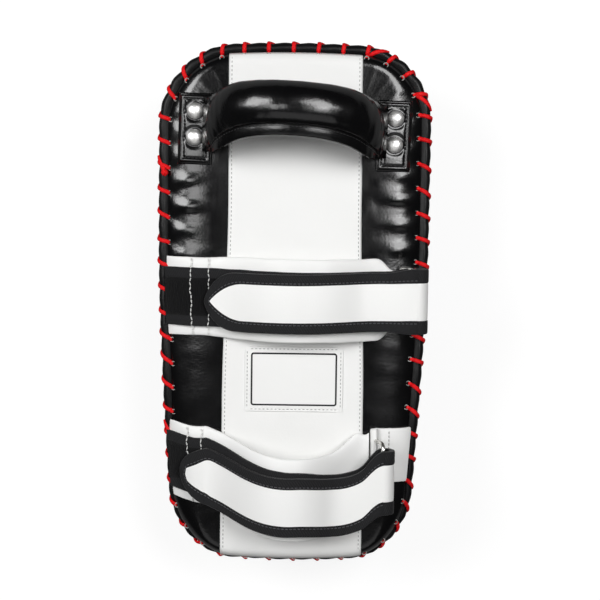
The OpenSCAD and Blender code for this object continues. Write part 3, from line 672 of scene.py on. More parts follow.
def side_at(keys, y):
    """How far across a side of the centre panel lies at y."""
    for a, b in zip(keys, keys[1:]):
        if y <= b.y:
            return mix(a.x, b.x, ease(a.y, b.y, y))
    return keys[-1].x


def centre_z(x, y):
    return back_z(x, y) + PANEL_T + 0.25


def centre_panel():
    """The white leather down the middle, with turned edges and a row of topstitching along each."""
    head_tuck, foot_tuck = 7.4, 1.6
    seam_inset, seam_end, seam_steps = 2.3, 11, 130

    def place(u, v):
        y = mix(-end_reach(0) + foot_tuck, end_reach(0) - head_tuck, v)
        left, right = side_at(PANEL_LEFT, y), side_at(PANEL_RIGHT, y)
        x = mix(left, right, u)
        y += (end_reach(x) - end_reach(0)) * y / end_reach(0)
        edge = min(x - left, right - x)
        turned = -0.5 * (1 - ease(0, 1.2, edge)) - 0.3 * bump_at(edge, seam_inset, 0.8)
        soft = 0.12 * noise.noise(Vector((x * 0.05, y * 0.05, 1.7)))
        return Vector((x, y, centre_z(x, y) + turned + soft))

    bm = bmesh.new()
    formed(bm, 64, 220, place)
    piece = finish_piece(
        bm, "centre_panel_leather", WHITE_LEATHER, ["centre_panel"], upward=True,
    )
    walled(piece, PANEL_T)
    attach(piece, "pad")

    reach = end_reach(0) - seam_end
    lines = []
    for keys, inward in ((PANEL_LEFT, 1), (PANEL_RIGHT, -1)):
        line = []
        for i in range(seam_steps + 1):
            y = mix(-reach, reach, i / seam_steps)
            x = side_at(keys, y) + seam_inset * inward
            line.append((Vector((x, y, centre_z(x, y) - 0.2)), UP))
        lines.append(line)
    piece = stitched("centre_panel_stitches", GREY_THREAD_PAINTED_SHADE, "white_leather", lines, 3.2, 0.75, share=0.6)
    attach(piece, "pad")


def foam_layers():
    """Three foam layers that fill the cover."""
    layers = (
        ("strike_foam_block", "strike_foam", ((37.5, 2.3), (20, 6.6), (10.4, 17.2), (7.5, 31.9))),
        ("core_foam_block", "core_foam", ((7.5, 32.4), (7.6, 48), (9.2, 65.8))),
        ("back_foam_block", "back_foam", ((9.4, 66.4), (13, 78), (19, 88), (21, 96), (28, 98.4))),
    )
    for name, node, rings in layers:
        rows = len(rings) - 1

        def place(u, v):
            inset, z = rings[round(v * rows)]
            return ring_place(u * EDGE_LENGTH, inset, z)

        piece = formed_piece(name, FOAM, [node], (120, rows), place)
        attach(piece, "pad")


# The laced edge
def edge_piping():
    """The rolled edge, pinched by each stitch of the lace and creased along its inner side."""
    def place(u, v):
        run = LACE_START - u * EDGE_LENGTH
        angle = 2 * math.pi * v
        hold = stitch_phase(run + 0.16 * PITCH)
        pinch, loose = max(0.0, hold) ** 2, max(0.0, -hold)
        inset, z = piping_centre(tuck_at(run))
        point, out = edge_at(run)
        corner = 4 * out.x ** 2 * out.y ** 2
        r = PIPING_R * (1 - 0.06 * pinch + 0.03 * loose)
        r -= 0.5 * bump_at(math.degrees(angle), 112, 8)
        r += 0.2 * noise.noise(Vector((
            point.x * 0.05 + math.cos(angle), point.y * 0.05 + math.sin(angle), 2.0,
        )))
        inset += (0.25 + 0.35 * corner) * (pinch - loose)
        reach = -inset + r * math.cos(angle)
        return Vector((point.x + out.x * reach, point.y + out.y * reach, z + r * math.sin(angle)))

    grid = (STITCHES * 10, 22)
    piece = formed_piece(
        "edge_piping_leather", ROLLED_LEATHER, ["edge_piping"], grid, place,
    )
    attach(piece, "pad")


def lace_spot(run, inset, z):
    """A place of the lace with the middle of the rolled edge beside it."""
    middle, height = piping_centre(tuck_at(run))
    return ring_place(run, inset, z), ring_place(run, middle, height)


def over_edge(run, angle, away=0.45):
    """A place of the lace on the rolled edge: nought is outward, ninety is up."""
    middle, height = piping_centre(tuck_at(run))
    r = PIPING_R + away
    a = math.radians(angle)
    return lace_spot(run, middle - r * math.cos(a), height + r * math.sin(a))


def stitch_route(start, slant, reach=0.37):
    """One stitch: up out of its hole, over the rolled edge, under it and inward again."""
    _, out = edge_at(start)
    tuck = tuck_at(start)
    hole = hole_inset(tuck, out.x)
    top = dome_z(hole, tuck, out.x) - 0.4
    step = PITCH * reach * slant
    route = [lace_spot(start, hole, top - 4.5), lace_spot(start, hole, top + 0.5)]
    # Angles over the rolled edge where it stands free and where it is tucked in
    for share, free, tight in ((0.2, 118, 62), (0.45, 78, 42), (0.75, 38, 20), (1.0, -8, -10)):
        route.append(over_edge(start - share * step, mix(free, tight, tuck)))
    last = start - PITCH * 0.9
    for share, angle in ((0.25, -55), (0.55, -100), (0.9, -150)):
        route.append(over_edge(mix(start - step, last, share), angle))
    return route


def lace_tube(bm, route):
    """A flattened cord along a route of (place, middle of the edge) pairs."""
    per_point, sides = 3, 10
    rings = (len(route) - 1) * per_point
    spots = [r[0] for r in route]
    cores = [r[1] for r in route]
    nudge = 0.2 / rings

    def place(u, v):
        p = spline(spots, u)
        ahead = (spline(spots, min(1.0, u + nudge)) - spline(spots, max(0.0, u - nudge))).normalized()
        away = p - spline(cores, u)
        away = (away - ahead * away.dot(ahead)).normalized()
        side = ahead.cross(away)
        c, s = circle(v)
        return p + side * (LACE_WIDE * c) + away * (LACE_THICK * s)

    formed(bm, rings, sides, place, size=(len(route) * 4.5, 7.8))


def nearest_stitch(x, y):
    run, _ = edge_spot(x, y)
    return round((LACE_START - run) / PITCH) % STITCHES


def knot(bm, run):
    """Three coils of the lace on the rolled edge and a loose end that goes on along it."""
    coil_r, cord_r = 1.7, 1.1
    inset, height = piping_centre(tuck_at(run))
    centre = ring_place(run, inset + 0.5, height + PIPING_R + 1.0)
    for k in range(3):
        spin = Matrix.Rotation(math.radians(50 * k), 3, "Z")
        turn = spin @ Matrix.Rotation(math.radians(35 + 50 * k), 3, "X")

        def coil(u, v):
            (ca, sa), (cb, sb) = circle(u), circle(v)
            r = coil_r + cord_r * cb
            return centre + turn @ Vector((r * ca, r * sa, cord_r * sb))

        formed(bm, 16, 8, coil, size=(12.0, 7.0))
    loose = ((0, 95), (0.2, 75), (0.45, 40), (0.65, 5))
    lace_tube(bm, [over_edge(run - share * PITCH, angle) for share, angle in loose])


def edge_lace():
    """One red lace whipped round the edge, with two stitches sewn twice and two knots where lengths join."""
    bm = bmesh.new()
    route = []
    for i in range(STITCHES):
        start = LACE_START - i * PITCH
        _, out = edge_at(start)
        uneven = 1 + 0.9 * noise.noise(Vector((i * 0.61, 4.4, 0.0)))
        route += stitch_route(start, mix(0.12, 0.75, ease(0.05, 0.55, abs(out.x))) * uneven)
    lace_tube(bm, route)
    for x, y in ((52.6, 195.0), (96.0, 156.0)):
        start = LACE_START - nearest_stitch(x, y) * PITCH
        lace_tube(bm, stitch_route(start, 1.0, reach=0.85)[1:6])
    for x, y in ((-101.0, 101.0), (-96.0, -103.0)):
        run, _ = edge_spot(x, y)
        knot(bm, run)
    close_ends(bm)
    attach(finish_piece(bm, "edge_lace", LACE, ["edge_lacing"]), "pad")


def lace_holes():
    """A pale punched rim round each lace hole; its pale colour is partly the punched leather core and partly
    a painted glint on the hole edge.
    """
    hole_r, rim_r = 1.7, 0.4
    bm = bmesh.new()
    for i in range(STITCHES):
        run = LACE_START - i * PITCH
        _, out = edge_at(run)
        centre = ring_place(run, hole_inset(tuck_at(run), out.x) + 0.9, 0)
        centre.z = back_z(centre.x, centre.y) + 0.1

        def rim(u, v):
            (ca, sa), (cb, sb) = circle(u), circle(v)
            r = hole_r + rim_r * cb
            tilt = 0.3 * out.dot((ca, sa))
            return centre + Vector((r * ca, r * sa, rim_r * sb - tilt))

        formed(bm, 12, 5, rim)
    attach(finish_piece(bm, "lace_hole_rims", PALE_EDGE_PAINTED_GLINT), "pad")


# The handle
def askew(p):
    """The handle is sewn on a little askew."""
    turn = Matrix.Rotation(math.radians(HANDLE_TURN), 3, "Z")
    middle = Vector((0, HANDLE_Y, 0))
    return middle + turn @ (p - middle)


def tab_base(x, y):
    return dome_z(half_width(y) - abs(x), 0.0)


def sewn_plate(name, left, right, low, high, base, thickness, dents=()):
    """A leather plate on the back: rounded edge, a sewn groove inside it and dents under rivets."""
    def place(u, v):
        x, y = mix(left, right, u), mix(low, high, v)
        edge = min(x - left, right - x, y - low, high - y)
        rise = thickness * math.sqrt(1 - (1 - clamp01(edge / 1.8)) ** 2)
        rise -= 0.7 * bump_at(edge, PLATE_SEAM, 0.8)
        for spot in dents:
            rise -= 0.8 * bump_at(math.hypot(x - spot[0], y - spot[1]), 7.0, 1.6)
        return askew(Vector((x, y, base(x, y) + max(rise, 0.0))))

    return formed_piece(f"{name}_leather", BLACK_LEATHER, [name], (44, 88), place)


def handle_tabs():
    """The sewn and riveted ends of the handle, each on its patch."""
    near, far, side_lap, end_lap = 63.0, 87.0, 1.2, 1.5
    low, high = HANDLE_Y - TAB_LENGTH / 2 - TAB_DROP, HANDLE_Y + TAB_LENGTH / 2 - TAB_DROP

    def patch_seat(x, y):
        return tab_base(x, y) + 0.1

    def tab_seat(x, y):
        return tab_base(x, y) + PATCH_T + 0.1

    def seam(x, y):
        return askew(Vector((x, y, tab_seat(x, y) + TAB_T - 0.4)))

    for side, name in ((-1, "left"), (1, "right")):
        left, right = sorted((side * near, side * far))
        dents = [(side * RIVET_X, HANDLE_Y + end * RIVET_PITCH / 2) for end in (-1, 1)]
        piece = sewn_plate(
            f"handle_patch_{name}", left - side_lap, right + side_lap, low - end_lap, high + end_lap,
            patch_seat, PATCH_T,
        )
        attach(piece, "pad")
        piece = sewn_plate(f"handle_tab_{name}", left, right, low, high, tab_seat, TAB_T, dents)
        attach(piece, "pad")
        lines = box_lines(
            left + PLATE_SEAM, right - PLATE_SEAM, low + PLATE_SEAM, high - PLATE_SEAM, 12, 0.0, seam,
        )
        piece = stitched(f"handle_tab_{name}_stitches", BLACK_THREAD, "black_leather", lines, 3.0, 0.8)
        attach(piece, "pad")


def rivet_caps():
    """Four domed caps: a shallow dome, a rolled rim and the shank below."""
    seat = tab_base(RIVET_X, HANDLE_Y) + PATCH_T + TAB_T - 0.2
    dome, rim, shank_r, shank_z = 2.6, 0.6, 2.0, 97.0
    radius = (RIVET_R ** 2 + dome ** 2) / (2 * dome)
    top = seat + rim + dome
    profile = [(0.0, top)]
    for i in range(1, 9):
        r = (RIVET_R - 0.5) * i / 8
        profile.append((r, top - radius + math.sqrt(radius ** 2 - r ** 2)))
    profile += [(RIVET_R - 0.1, seat + 0.75), (RIVET_R, seat + 0.4), (RIVET_R - 0.2, seat)]
    profile += [(shank_r, seat), (shank_r, shank_z), (0.0, shank_z)]
    bm = bmesh.new()
    for side in (-1, 1):
        for end in (-1, 1):
            centre = askew(Vector((side * RIVET_X, HANDLE_Y + end * RIVET_PITCH / 2, 0)))
            verts = [bm.verts.new(centre + Vector((r, 0, z))) for r, z in profile]
            edges = [bm.edges.new(pair) for pair in zip(verts, verts[1:])]
            bmesh.ops.spin(
                bm, geom=verts + edges, cent=centre, axis=UP, angle=2 * math.pi, steps=40, use_merge=True,
            )
    bmesh.ops.remove_doubles(bm, verts=bm.verts, dist=1e-4)
    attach(finish_piece(bm, "rivet_caps", RIVET_METAL, ["rivets"], sharp=35), "pad")


# Stations of the left half of the sleeve: across, height, half width and half thickness
SLEEVE_LEFT = [Vector(k) for k in (
    (-69.2, 105.4, 20.5, 0.8), (-67.6, 107.2, 20.3, 2.6), (-64.6, 110.6, 20.0, 5.0),
    (-61.0, 115.0, 19.6, 7.6), (-57.0, 121.5, 19.2, 10.0), (-50.5, 129.0, 18.7, 12.0),
    (-41.5, 137.0, 18.2, 13.5), (-29.5, 143.5, 17.8, 14.4), (-15.0, 147.8, 17.5, 14.8),
)]
HANDLE_KEYS = SLEEVE_LEFT + [Vector((0.0, 149.3, 17.4, 14.8))]
HANDLE_KEYS += [Vector((-k.x, k.y, k.z, k.w)) for k in reversed(SLEEVE_LEFT)]


def lean(p):
    """The handle leans toward the head of the pad above its necks."""
    angle = math.radians(HANDLE_LEAN) * ease(104, 124, p.z)
    dy = p.y + HANDLE_BOW * ease(108, 150, p.z) + HANDLE_TWIST * p.x * ease(108, 134, p.z)
    dz = p.z - PIVOT_Z
    return Vector((
        p.x,
        HANDLE_Y + dy * math.cos(angle) + dz * math.sin(angle),
        PIVOT_Z - dy * math.sin(angle) + dz * math.cos(angle),
    ))


def sleeve_place(t, angle, skin=0.0, flange=6.0):
    """A point of the sleeve: t along it, angle round it from its head side over the top."""
    key = spline(HANDLE_KEYS, t)
    step = spline(HANDLE_KEYS, min(1.0, t + 0.004)) - spline(HANDLE_KEYS, max(0.0, t - 0.004))
    up = Vector((-step.y, step.x)).normalized()
    degrees = math.degrees(angle)
    wide, thick = key.z - skin, max(key.w - skin, 0.4)
    fin = (1 - ease(6, 13, abs(degrees - 180))) * ease(3, 12, key.w)
    lift = thick * math.sin(angle)
    side = wide * math.cos(angle) - flange * fin
    if not skin:
        seam = bump_at(degrees, 164, 4) + bump_at(degrees, 196, 4)
        tight = 1 - ease(0.05, 0.4, min(t, 1 - t))
        crease = noise.noise(Vector((t * 46, math.cos(angle) * 1.2, math.sin(angle) * 1.2)))
        under = clamp01(-math.sin(angle))
        loose = (0.25 + tight + 0.6 * under) * ease(3, 9, key.w)
        puff = 0.7 * crease * loose - 0.9 * seam * ease(4, 10, key.w)
        lift += puff * math.sin(angle)
        side += puff * math.cos(angle)
    return askew(lean(Vector((key.x + up.x * lift, side, key.y + up.y * lift))))


def bend_handle(piece):
    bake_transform(piece)
    return piece


def handle_sleeve():
    """The stuffed leather tube with its sewn fin, and its foam core."""
    seam_angle, beside_angle, seam_steps = math.radians(168), math.radians(130), 140

    def sleeve(u, v):
        return sleeve_place(u, 2 * math.pi * v)

    def core(u, v):
        return sleeve_place(mix(0.16, 0.84, u), 2 * math.pi * v, skin=2.6, flange=0.0)

    piece = formed_piece(
        "handle_sleeve_leather", BLACK_LEATHER, ["handle_sleeve"], (150, 96), sleeve,
    )
    bend_handle(piece)
    piece = formed_piece("handle_core_foam", FOAM, ["handle_core"], (60, 20), core)
    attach(piece, "handle")

    line = []
    for i in range(seam_steps + 1):
        t = mix(0.17, 0.83, i / seam_steps)
        p = sleeve_place(t, seam_angle)
        off = p - sleeve_place(t, seam_angle, skin=2.0)
        if off.length <= 0.1:
            off = p - sleeve_place(t, beside_angle)
        line.append((p, off.normalized()))
    bend_handle(stitched("handle_seam_stitches", BLACK_THREAD, "black_leather", [line], 2.8, 0.8))


# Straps
class Path:
    """A line in X and Z with the direction off it, read by a share of its length."""

    def __init__(self, points):
        self.points = points
        self.runs = [0.0]
        for a, b in zip(points, points[1:]):
            self.runs.append(self.runs[-1] + (b - a).length)
        self.length = self.runs[-1]
        last = len(points) - 1
        self.off = []
        for i in range(last + 1):
            d = points[min(i + 1, last)] - points[max(i - 1, 0)]
            self.off.append(Vector((-d.y, d.x)).normalized())

    def at(self, t):
        run = clamp01(t) * self.length
        i = min(bisect.bisect_right(self.runs, run) - 1, len(self.points) - 2)
        f = (run - self.runs[i]) / (self.runs[i + 1] - self.runs[i])
        return self.points[i].lerp(self.points[i + 1], f), self.off[i].lerp(self.off[i + 1], f).normalized()

    def share_at(self, x):
        """The share of the length at which the path first reaches x."""
        for i in range(len(self.points) - 1):
            a, b = self.points[i].x, self.points[i + 1].x
            if a <= x <= b:
                return mix(self.runs[i], self.runs[i + 1], (x - a) / max(b - a, 1e-9)) / self.length
        return 0.0 if x < self.points[0].x else 1.0

    def lifted(self, height):
        """A path at a height over this one; height is a function of x."""
        return [p + n * height(p.x) for p, n in zip(self.points, self.off)]


def smooth_path(points, count):
    """Evenly spread points on a smooth curve through the given ones."""
    fine = Path([spline(points, i / (6 * count)) for i in range(6 * count + 1)])
    return Path([fine.at(i / count)[0] for i in range(count + 1)])


class Strap:
    """A forearm strap: its sewn end on the left, its arch, its ring and its turned-back flap."""

    def __init__(
        self, name, y, sag, drift, rise, sew_inset, ring_inset, ring_angle, root_z, tip_inset, blunt,
    ):
        self.name, self.y, self.sag, self.drift, self.blunt = name, y, sag, drift, blunt
        self.half = half_width(y)
        # The lower strap has slipped along its ring, toward the foot
        self.tab_shift, self.ring_shift, self.end_drop = 5.0 * blunt, -6.0 * blunt, 11.0 * blunt
        self.sewn_narrow, self.sewn_shift, self.sew_drop = 1.5, 0.5 * blunt, 4.5 * blunt
        self.anchor_gaps = (-2.0 + 5 * blunt, 11.0 + 2 * blunt)
        self.sew_x = -(self.half - sew_inset)
        self.root = Vector((self.half - ring_inset, root_z))
        angle = math.radians(ring_angle)
        self.ring_way = Vector((math.cos(angle), math.sin(angle)))
        self.bar = self.root + RING_REACH * self.ring_way
        self.tip_x = -(self.half - tip_inset)
        self.crease = Vector((self.bar.x - 0.25, self.bar.y + FOLD_R + 0.5))
        tuck = tucked(y, -1)
        first = panel_start(tuck) + 0.6
        self.outer_x = -(self.half - first)
        liner_end = self.root.x - WIRE_R - 0.3 - RING_TAB_T - 1.0
        insets = [mix(first, sew_inset - 2, (i / 8) ** 1.6) for i in range(9)]
        on_roll = [Vector((-(self.half - i), dome_z(i, tuck) + 0.35)) for i in insets]
        arch = []
        for i in range(33):
            u = i / 32
            x = mix(self.sew_x, liner_end, u)
            arch.append(Vector((x, DECK + 0.35 + rise * (1 - math.cos(2 * math.pi * u)) / 2 + 3 * u)))
        self.liner_path = smooth_path(on_roll + arch, 110)
        # The band leaves the liner, and the flap the band, some way before the ring
        band_leaves, flap_leaves = self.bar.x - 46, self.bar.x - 34
        over_liner = self.liner_path.lifted(lambda x: (LINER_T + 0.7) * self.thin(x))
        on_liner = [p for p in over_liner if p.x < band_leaves]
        start = Vector((self.bar.x, self.bar.y - FOLD_R))
        merge = self.joined(on_liner, start)
        turns = [math.radians(-90 + 180 * i / 16) for i in range(1, 17)]
        fold = [self.bar + FOLD_R * Vector((math.cos(a), math.sin(a))) for a in turns]
        self.band_path = Path(on_liner + merge + fold)
        self.fold_share = 1 - math.pi * FOLD_R / self.band_path.length
        whole = self.band_path.lifted(lambda x: (BAND_T + 1.2) * mix(0.55, 1, self.thin(x)))
        on_band = [p for p in whole[:len(on_liner)] if p.x < flap_leaves]
        finish = Vector((self.bar.x + 0.6, self.bar.y + FOLD_R - FLAP_T + 0.75))
        self.flap_path = Path(on_band + self.joined(on_band, finish))

    @staticmethod
    def joined(points, finish):
        """Points on an easy curve from the end of a path to a level finish."""
        start = points[-1]
        heading = (start - points[-3]).normalized()
        reach = (finish - start).length / 2.6
        a, b = start + heading * reach, finish - Vector((reach, 0))
        out = []
        for i in range(1, 15):
            t = i / 14
            left = 1 - t
            near = start * left ** 3 + a * (3 * t * left ** 2)
            out.append(near + b * (3 * t * t * left) + finish * t ** 3)
        return out

    def thin(self, x):
        """The layers are pressed thin where they go under the rolled edge."""
        return mix(0.28, 1.0, ease(self.outer_x, self.sew_x, x))

    def band_top(self, x):
        """Thickness of the band, which is pressed less than the liner."""
        return BAND_T * mix(0.5, 1, self.thin(x))

    def line(self, x):
        """Middle line of the strap in plan."""
        u = clamp01((x - self.sew_x) / (self.bar.x - self.sew_x))
        sag = self.sag * (1 - abs(2 * u ** 1.1 - 1) ** 2.4) * (1 - ease(0.88, 1.04, u))
        sewn = self.sew_drop * bump_at(x, self.sew_x - 6, 16)
        return self.y - sag - sewn - self.slip(x)

    def slip(self, x):
        """How far the strap has slipped toward the foot, off its liner."""
        return self.end_drop * ease(mix(self.sew_x, self.bar.x, 0.5), mix(self.sew_x, self.bar.x, 0.9), x)

    def off_band(self, x):
        """How far the flap has drifted toward the foot, off the band below."""
        return self.drift * (clamp01((x - self.sew_x) / (self.bar.x - self.sew_x)) - 1)

    def on_flap(self, t, side, lift):
        p, _ = self.flap_path.at(t)
        return self.place(self.flap_path, t, side + self.off_band(p.x), lift)

    def place(self, path, t, side, lift):
        p, off = path.at(t)
        y = self.line(p.x) + side
        fade = clamp01((self.sew_x - p.x) / (self.sew_x + self.half - RIM_FLAT - ROLL))
        shift = (self.half - half_width(y)) * fade
        return Vector((p.x + off.x * lift + shift, y, p.y + off.y * lift))

    def flare(self, x):
        """The bindings are pushed out over the sides of the ring."""
        return 2.3 * ease(self.bar.x - 22, self.bar.x - 4, x)

    def flap_half(self, x):
        """Half width of the flap over its binding, from its rounded tip."""
        t = clamp01((x - self.tip_x) / 25.0)
        return STRAP_WIDTH / 2 * (1 - (1 - t) ** 2.2) ** mix(0.7, 0.5, self.blunt) + self.flare(x)

    def face_half(self, x):
        """Half width of the white face, which comes to a point or to a short straight end."""
        t = clamp01((x - self.tip_x - TIP_TAPE) / mix(26.0, 20.0, self.blunt))
        start = 4.2 * self.blunt * ease(0, 0.04, t)
        rest = STRAP_WIDTH / 2 - BINDING_WIDTH - start
        return start + rest * (1 - (1 - t) ** mix(2.0, 1.4, self.blunt))

    def bend_flap(self, piece):
        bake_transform(piece)
        return piece


UPPER = Strap(
    "upper", y=7.5, sag=1.0, drift=2.5, rise=18.0, sew_inset=37.0,
    ring_inset=22.3, ring_angle=48.0, root_z=104.864, tip_inset=35.6, blunt=0.0,
)
LOWER = Strap(
    "lower", y=-119.0, sag=24.0, drift=7.0, rise=30.0, sew_inset=31.0,
    ring_inset=31.8, ring_angle=72.0, root_z=104.95, tip_inset=11.5, blunt=1.0,
)


def liner(strap):
    """The padded white tongue under a strap: plump, with drawn-in sides and a rounded, creased free end."""
    half = LINER_WIDTH / 2
    path = strap.liner_path

    def place(u, v):
        p, _ = path.at(u)
        thick = LINER_T * strap.thin(p.x)
        tail = 1 - (1 - ease(0, 16, path.length * (1 - u))) ** 2
        c, up = circle(v)
        across = squarer(c, 0.42)
        lift = thick * (0.45 + 0.5 * squarer(up, 0.7))
        crease = noise.noise(Vector((p.x * 0.06, across * 1.5, strap.y)))
        lift += 0.5 * crease * max(0.0, up) * ease(0.3, 1.0, abs(across))
        sewn = 1 - ease(strap.sew_x, strap.sew_x + 30, p.x)
        side = across * (half - strap.sewn_narrow * sewn) * mix(0.72, 1.0, tail) + strap.sewn_shift * sewn
        side *= 1 + 0.012 * noise.noise(Vector((p.x * 0.09, strap.y, across)))
        side += strap.slip(p.x) + 8 * strap.blunt * max(0.0, across) * ease(0.8, 0.97, u)
        return strap.place(path, u, side, lift)

    piece = formed_piece(
        f"{strap.name}_liner_leather", WHITE_LEATHER, [f"{strap.name}_liner"],
        (110, 44), place,
    )
    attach(piece, "pad")


def bar_section(low_side, high_side, low, high, v):
    """A point of a flat bar's rounded section, as side and height."""
    c, s = circle(v)
    across, up = squarer(c, 0.25), squarer(s, 0.5)
    return mix(low_side, high_side, (across + 1) / 2), mix(low, high, (up + 1) / 2)


def band(strap):
    """The sewn strap: webbing, a loop tape on it and a woven binding on both edges, folded round the ring."""
    name, path, start_fold = strap.name, strap.band_path, strap.fold_share
    web_half, inner_half = STRAP_WIDTH / 2 - 0.6, STRAP_WIDTH / 2 - BINDING_WIDTH
    tape_half, face_half = inner_half + 0.8, inner_half + 1.0
    tape_end = path.share_at(strap.bar.x - 30)

    def webbing(u, v):
        p, _ = path.at(u)
        side, lift = bar_section(-web_half, web_half, 0.0, strap.band_top(p.x), v)
        return strap.place(path, u, side, lift)

    def loop_tape(u, v):
        p, _ = path.at(u * tape_end)
        top = strap.band_top(p.x)
        fuzz = 0.18 * noise.noise(Vector((u * 260, v * 40, strap.y)))
        side, lift = bar_section(-tape_half, tape_half, top - 0.1, top + 0.7 + fuzz, v)
        return strap.place(path, u * tape_end, side, lift)

    def facing(u, v):
        side, lift = bar_section(-face_half, face_half, -1.0, 0.1, v)
        return strap.place(path, mix(start_fold - 0.02, 1.0, u), side, lift)

    piece = formed_piece(
        f"{name}_band_webbing", WEBBING, [f"{name}_band"],
        (150, 24), webbing, (path.length, 100.0),
    )
    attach(piece, "pad")
    piece = formed_piece(
        f"{name}_loop_fabric", LOOP, [f"{name}_loop_tape"],
        (160, 40), loop_tape, (path.length * tape_end, 64.0),
    )
    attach(piece, "pad")

    bm = bmesh.new()
    for sign in (-1, 1):
        def binding(u, v):
            p, _ = path.at(u)
            outer = STRAP_WIDTH / 2 + strap.flare(p.x)
            low = mix(-0.45, -1.3, ease(start_fold - 0.05, start_fold + 0.02, u))
            side, lift = bar_section(inner_half, outer, low, strap.band_top(p.x) + 0.55, v)
            wobble = 0.25 * noise.noise(Vector((u * 18, sign * 4, strap.y)))
            return strap.place(path, u, sign * (side + wobble), lift)

        formed(bm, 150, 24, binding, size=(path.length, 22.0))
    close_ends(bm)
    piece = finish_piece(bm, f"{name}_band_tape", BINDING, [f"{name}_band_binding"])
    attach(piece, "pad")

    # The white face goes on round the outside of the fold
    piece = formed_piece(
        f"{name}_fold_leather", WHITE_LEATHER, (), (40, 24), facing, (30.0, 60.0),
    )
    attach(piece, "pad")


def anchor_stitches(strap):
    """Two wavering rows of white thread that hold a strap and its liner to the back."""
    path, reach, steps = strap.band_path, LINER_WIDTH / 2 - 2, 40
    lines = []
    for row, gap in enumerate(strap.anchor_gaps):
        x = strap.sew_x - gap
        t = path.share_at(x)
        line = []
        for i in range(steps + 1):
            side = mix(-reach, reach, i / steps)
            waver = 0.004 * noise.noise(Vector((side * 0.2, row * 5.0, strap.y)))
            on_band = abs(side) < STRAP_WIDTH / 2
            lift = strap.band_top(x) + 0.75 if on_band else -0.6 * strap.thin(x)
            line.append((strap.place(path, t + waver, side, lift), UP))
        lines.append(line)
    piece = stitched(
        f"{strap.name}_anchor_stitches", WHITE_THREAD, "white_leather", lines, 3.4, 1.0,
        share=0.8, wander=0.25,
    )
    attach(piece, "pad")


def flap(strap):
    """The turned-back flap: a white face padded up between its bindings, bound round its tip, hooks below."""
    name, path, tip_x = strap.name, strap.flap_path, strap.tip_x
    face_start = path.share_at(tip_x) + 1.4 / path.length
    hook_start, hook_end = path.share_at(tip_x + 27), path.share_at(tip_x + 89)
    hook_half = STRAP_WIDTH / 2 - BINDING_WIDTH - 0.3
    seam_share, seam_steps = 0.22, 240

    def face(u, v):
        t = mix(face_start, 1.0, ease(0, 1, u))
        p, _ = path.at(t)
        half = max(strap.flap_half(p.x) - 1.2, 0.3)
        side, lift = bar_section(-half, half, 0.0, FLAP_T, v)
        inner = max(strap.face_half(p.x), 0.1)
        plump = 0.55 * (1 - min(1.0, abs(side) / inner) ** 2) * ease(0, 12, p.x - tip_x)
        plump *= ease(0, 16, strap.crease.x - p.x)
        if lift > FLAP_T / 2:
            lift += plump + 0.12 * noise.noise(Vector((p.x * 0.08, side * 0.08, strap.y)))
        return strap.on_flap(t, side, lift)

    def rim(u):
        """Outer and inner plan points of the binding: up one edge, round the tip and down the other."""
        sign = 1 if u > 0.5 else -1
        x = mix(tip_x, strap.bar.x + 0.5, ease(0, 1, abs(2 * u - 1)))
        outer = strap.flap_half(x)
        inner_x = max(x, tip_x + TIP_TAPE * (1 - ease(0, 26, x - tip_x)))
        inner = min(strap.face_half(max(x, tip_x + TIP_TAPE)), max(outer - 2.0, 0.0))
        return Vector((x, sign * outer)), Vector((inner_x, sign * inner))

    def binding(u, v):
        outer, inner = rim(u)
        across, lift = bar_section(0.0, 1.0, -0.5, FLAP_T + 0.6, v)
        spot = inner.lerp(outer, across)
        wobble = 0.2 * noise.noise(Vector((u * 22, 8.0, strap.y)))
        return strap.on_flap(path.share_at(spot.x), spot.y + math.copysign(wobble * across, spot.y), lift)

    def hooks(u, v):
        side, lift = bar_section(-hook_half, hook_half, -0.55, 0.15, v)
        return strap.on_flap(mix(hook_start, hook_end, u), side, lift)

    piece = formed_piece(
        f"{name}_flap_leather", WHITE_LEATHER, [f"{name}_flap"],
        (140, 48), face, (path.length, 100.0),
    )
    strap.bend_flap(piece)
    piece = formed_piece(
        f"{name}_flap_tape", BINDING, [f"{name}_flap_binding"],
        (220, 28), binding, (2 * path.length, 26.0),
    )
    strap.bend_flap(piece)

    line = []
    for i in range(seam_steps + 1):
        outer, inner = rim(i / seam_steps)
        spot = inner.lerp(outer, seam_share)
        line.append((strap.on_flap(path.share_at(spot.x), spot.y, FLAP_T + 0.62), UP))
    strap.bend_flap(stitched(f"{name}_flap_stitches", CHARCOAL_THREAD, "binding_tape", [line], 3.1, 0.75))

    piece = formed_piece(
        f"{name}_hook_fabric", HOOK, [f"{name}_hook_tape"], (50, 24), hooks, (62.0, 60.0),
    )
    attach(piece, f"{strap.name}_flap")


def ring(strap):
    """The bent wire ring that a strap turns round."""
    across, along = RING_REACH - RING_BEND, RING_LENGTH / 2 + WIRE_R - RING_BEND
    corners = ((across, along), (RING_BEND, along), (RING_BEND, -along), (across, -along))
    route = rounded_loop(corners, RING_BEND, side_steps=12)
    way = strap.ring_way

    def place(u, v):
        p, out = loop_at(route, u)
        c, s = circle(v)
        q = p + out * (WIRE_R * c)
        up = WIRE_R * s
        return Vector((
            strap.root.x + way.x * q.x - way.y * up,
            strap.y + strap.ring_shift + q.y,
            strap.root.y + way.y * q.x + way.x * up,
        ))

    grid = (len(route), 16)
    piece = formed_piece(f"{strap.name}_ring_wire", RING_METAL, [f"{strap.name}_ring"], grid, place)
    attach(piece, f"{strap.name}_ring")


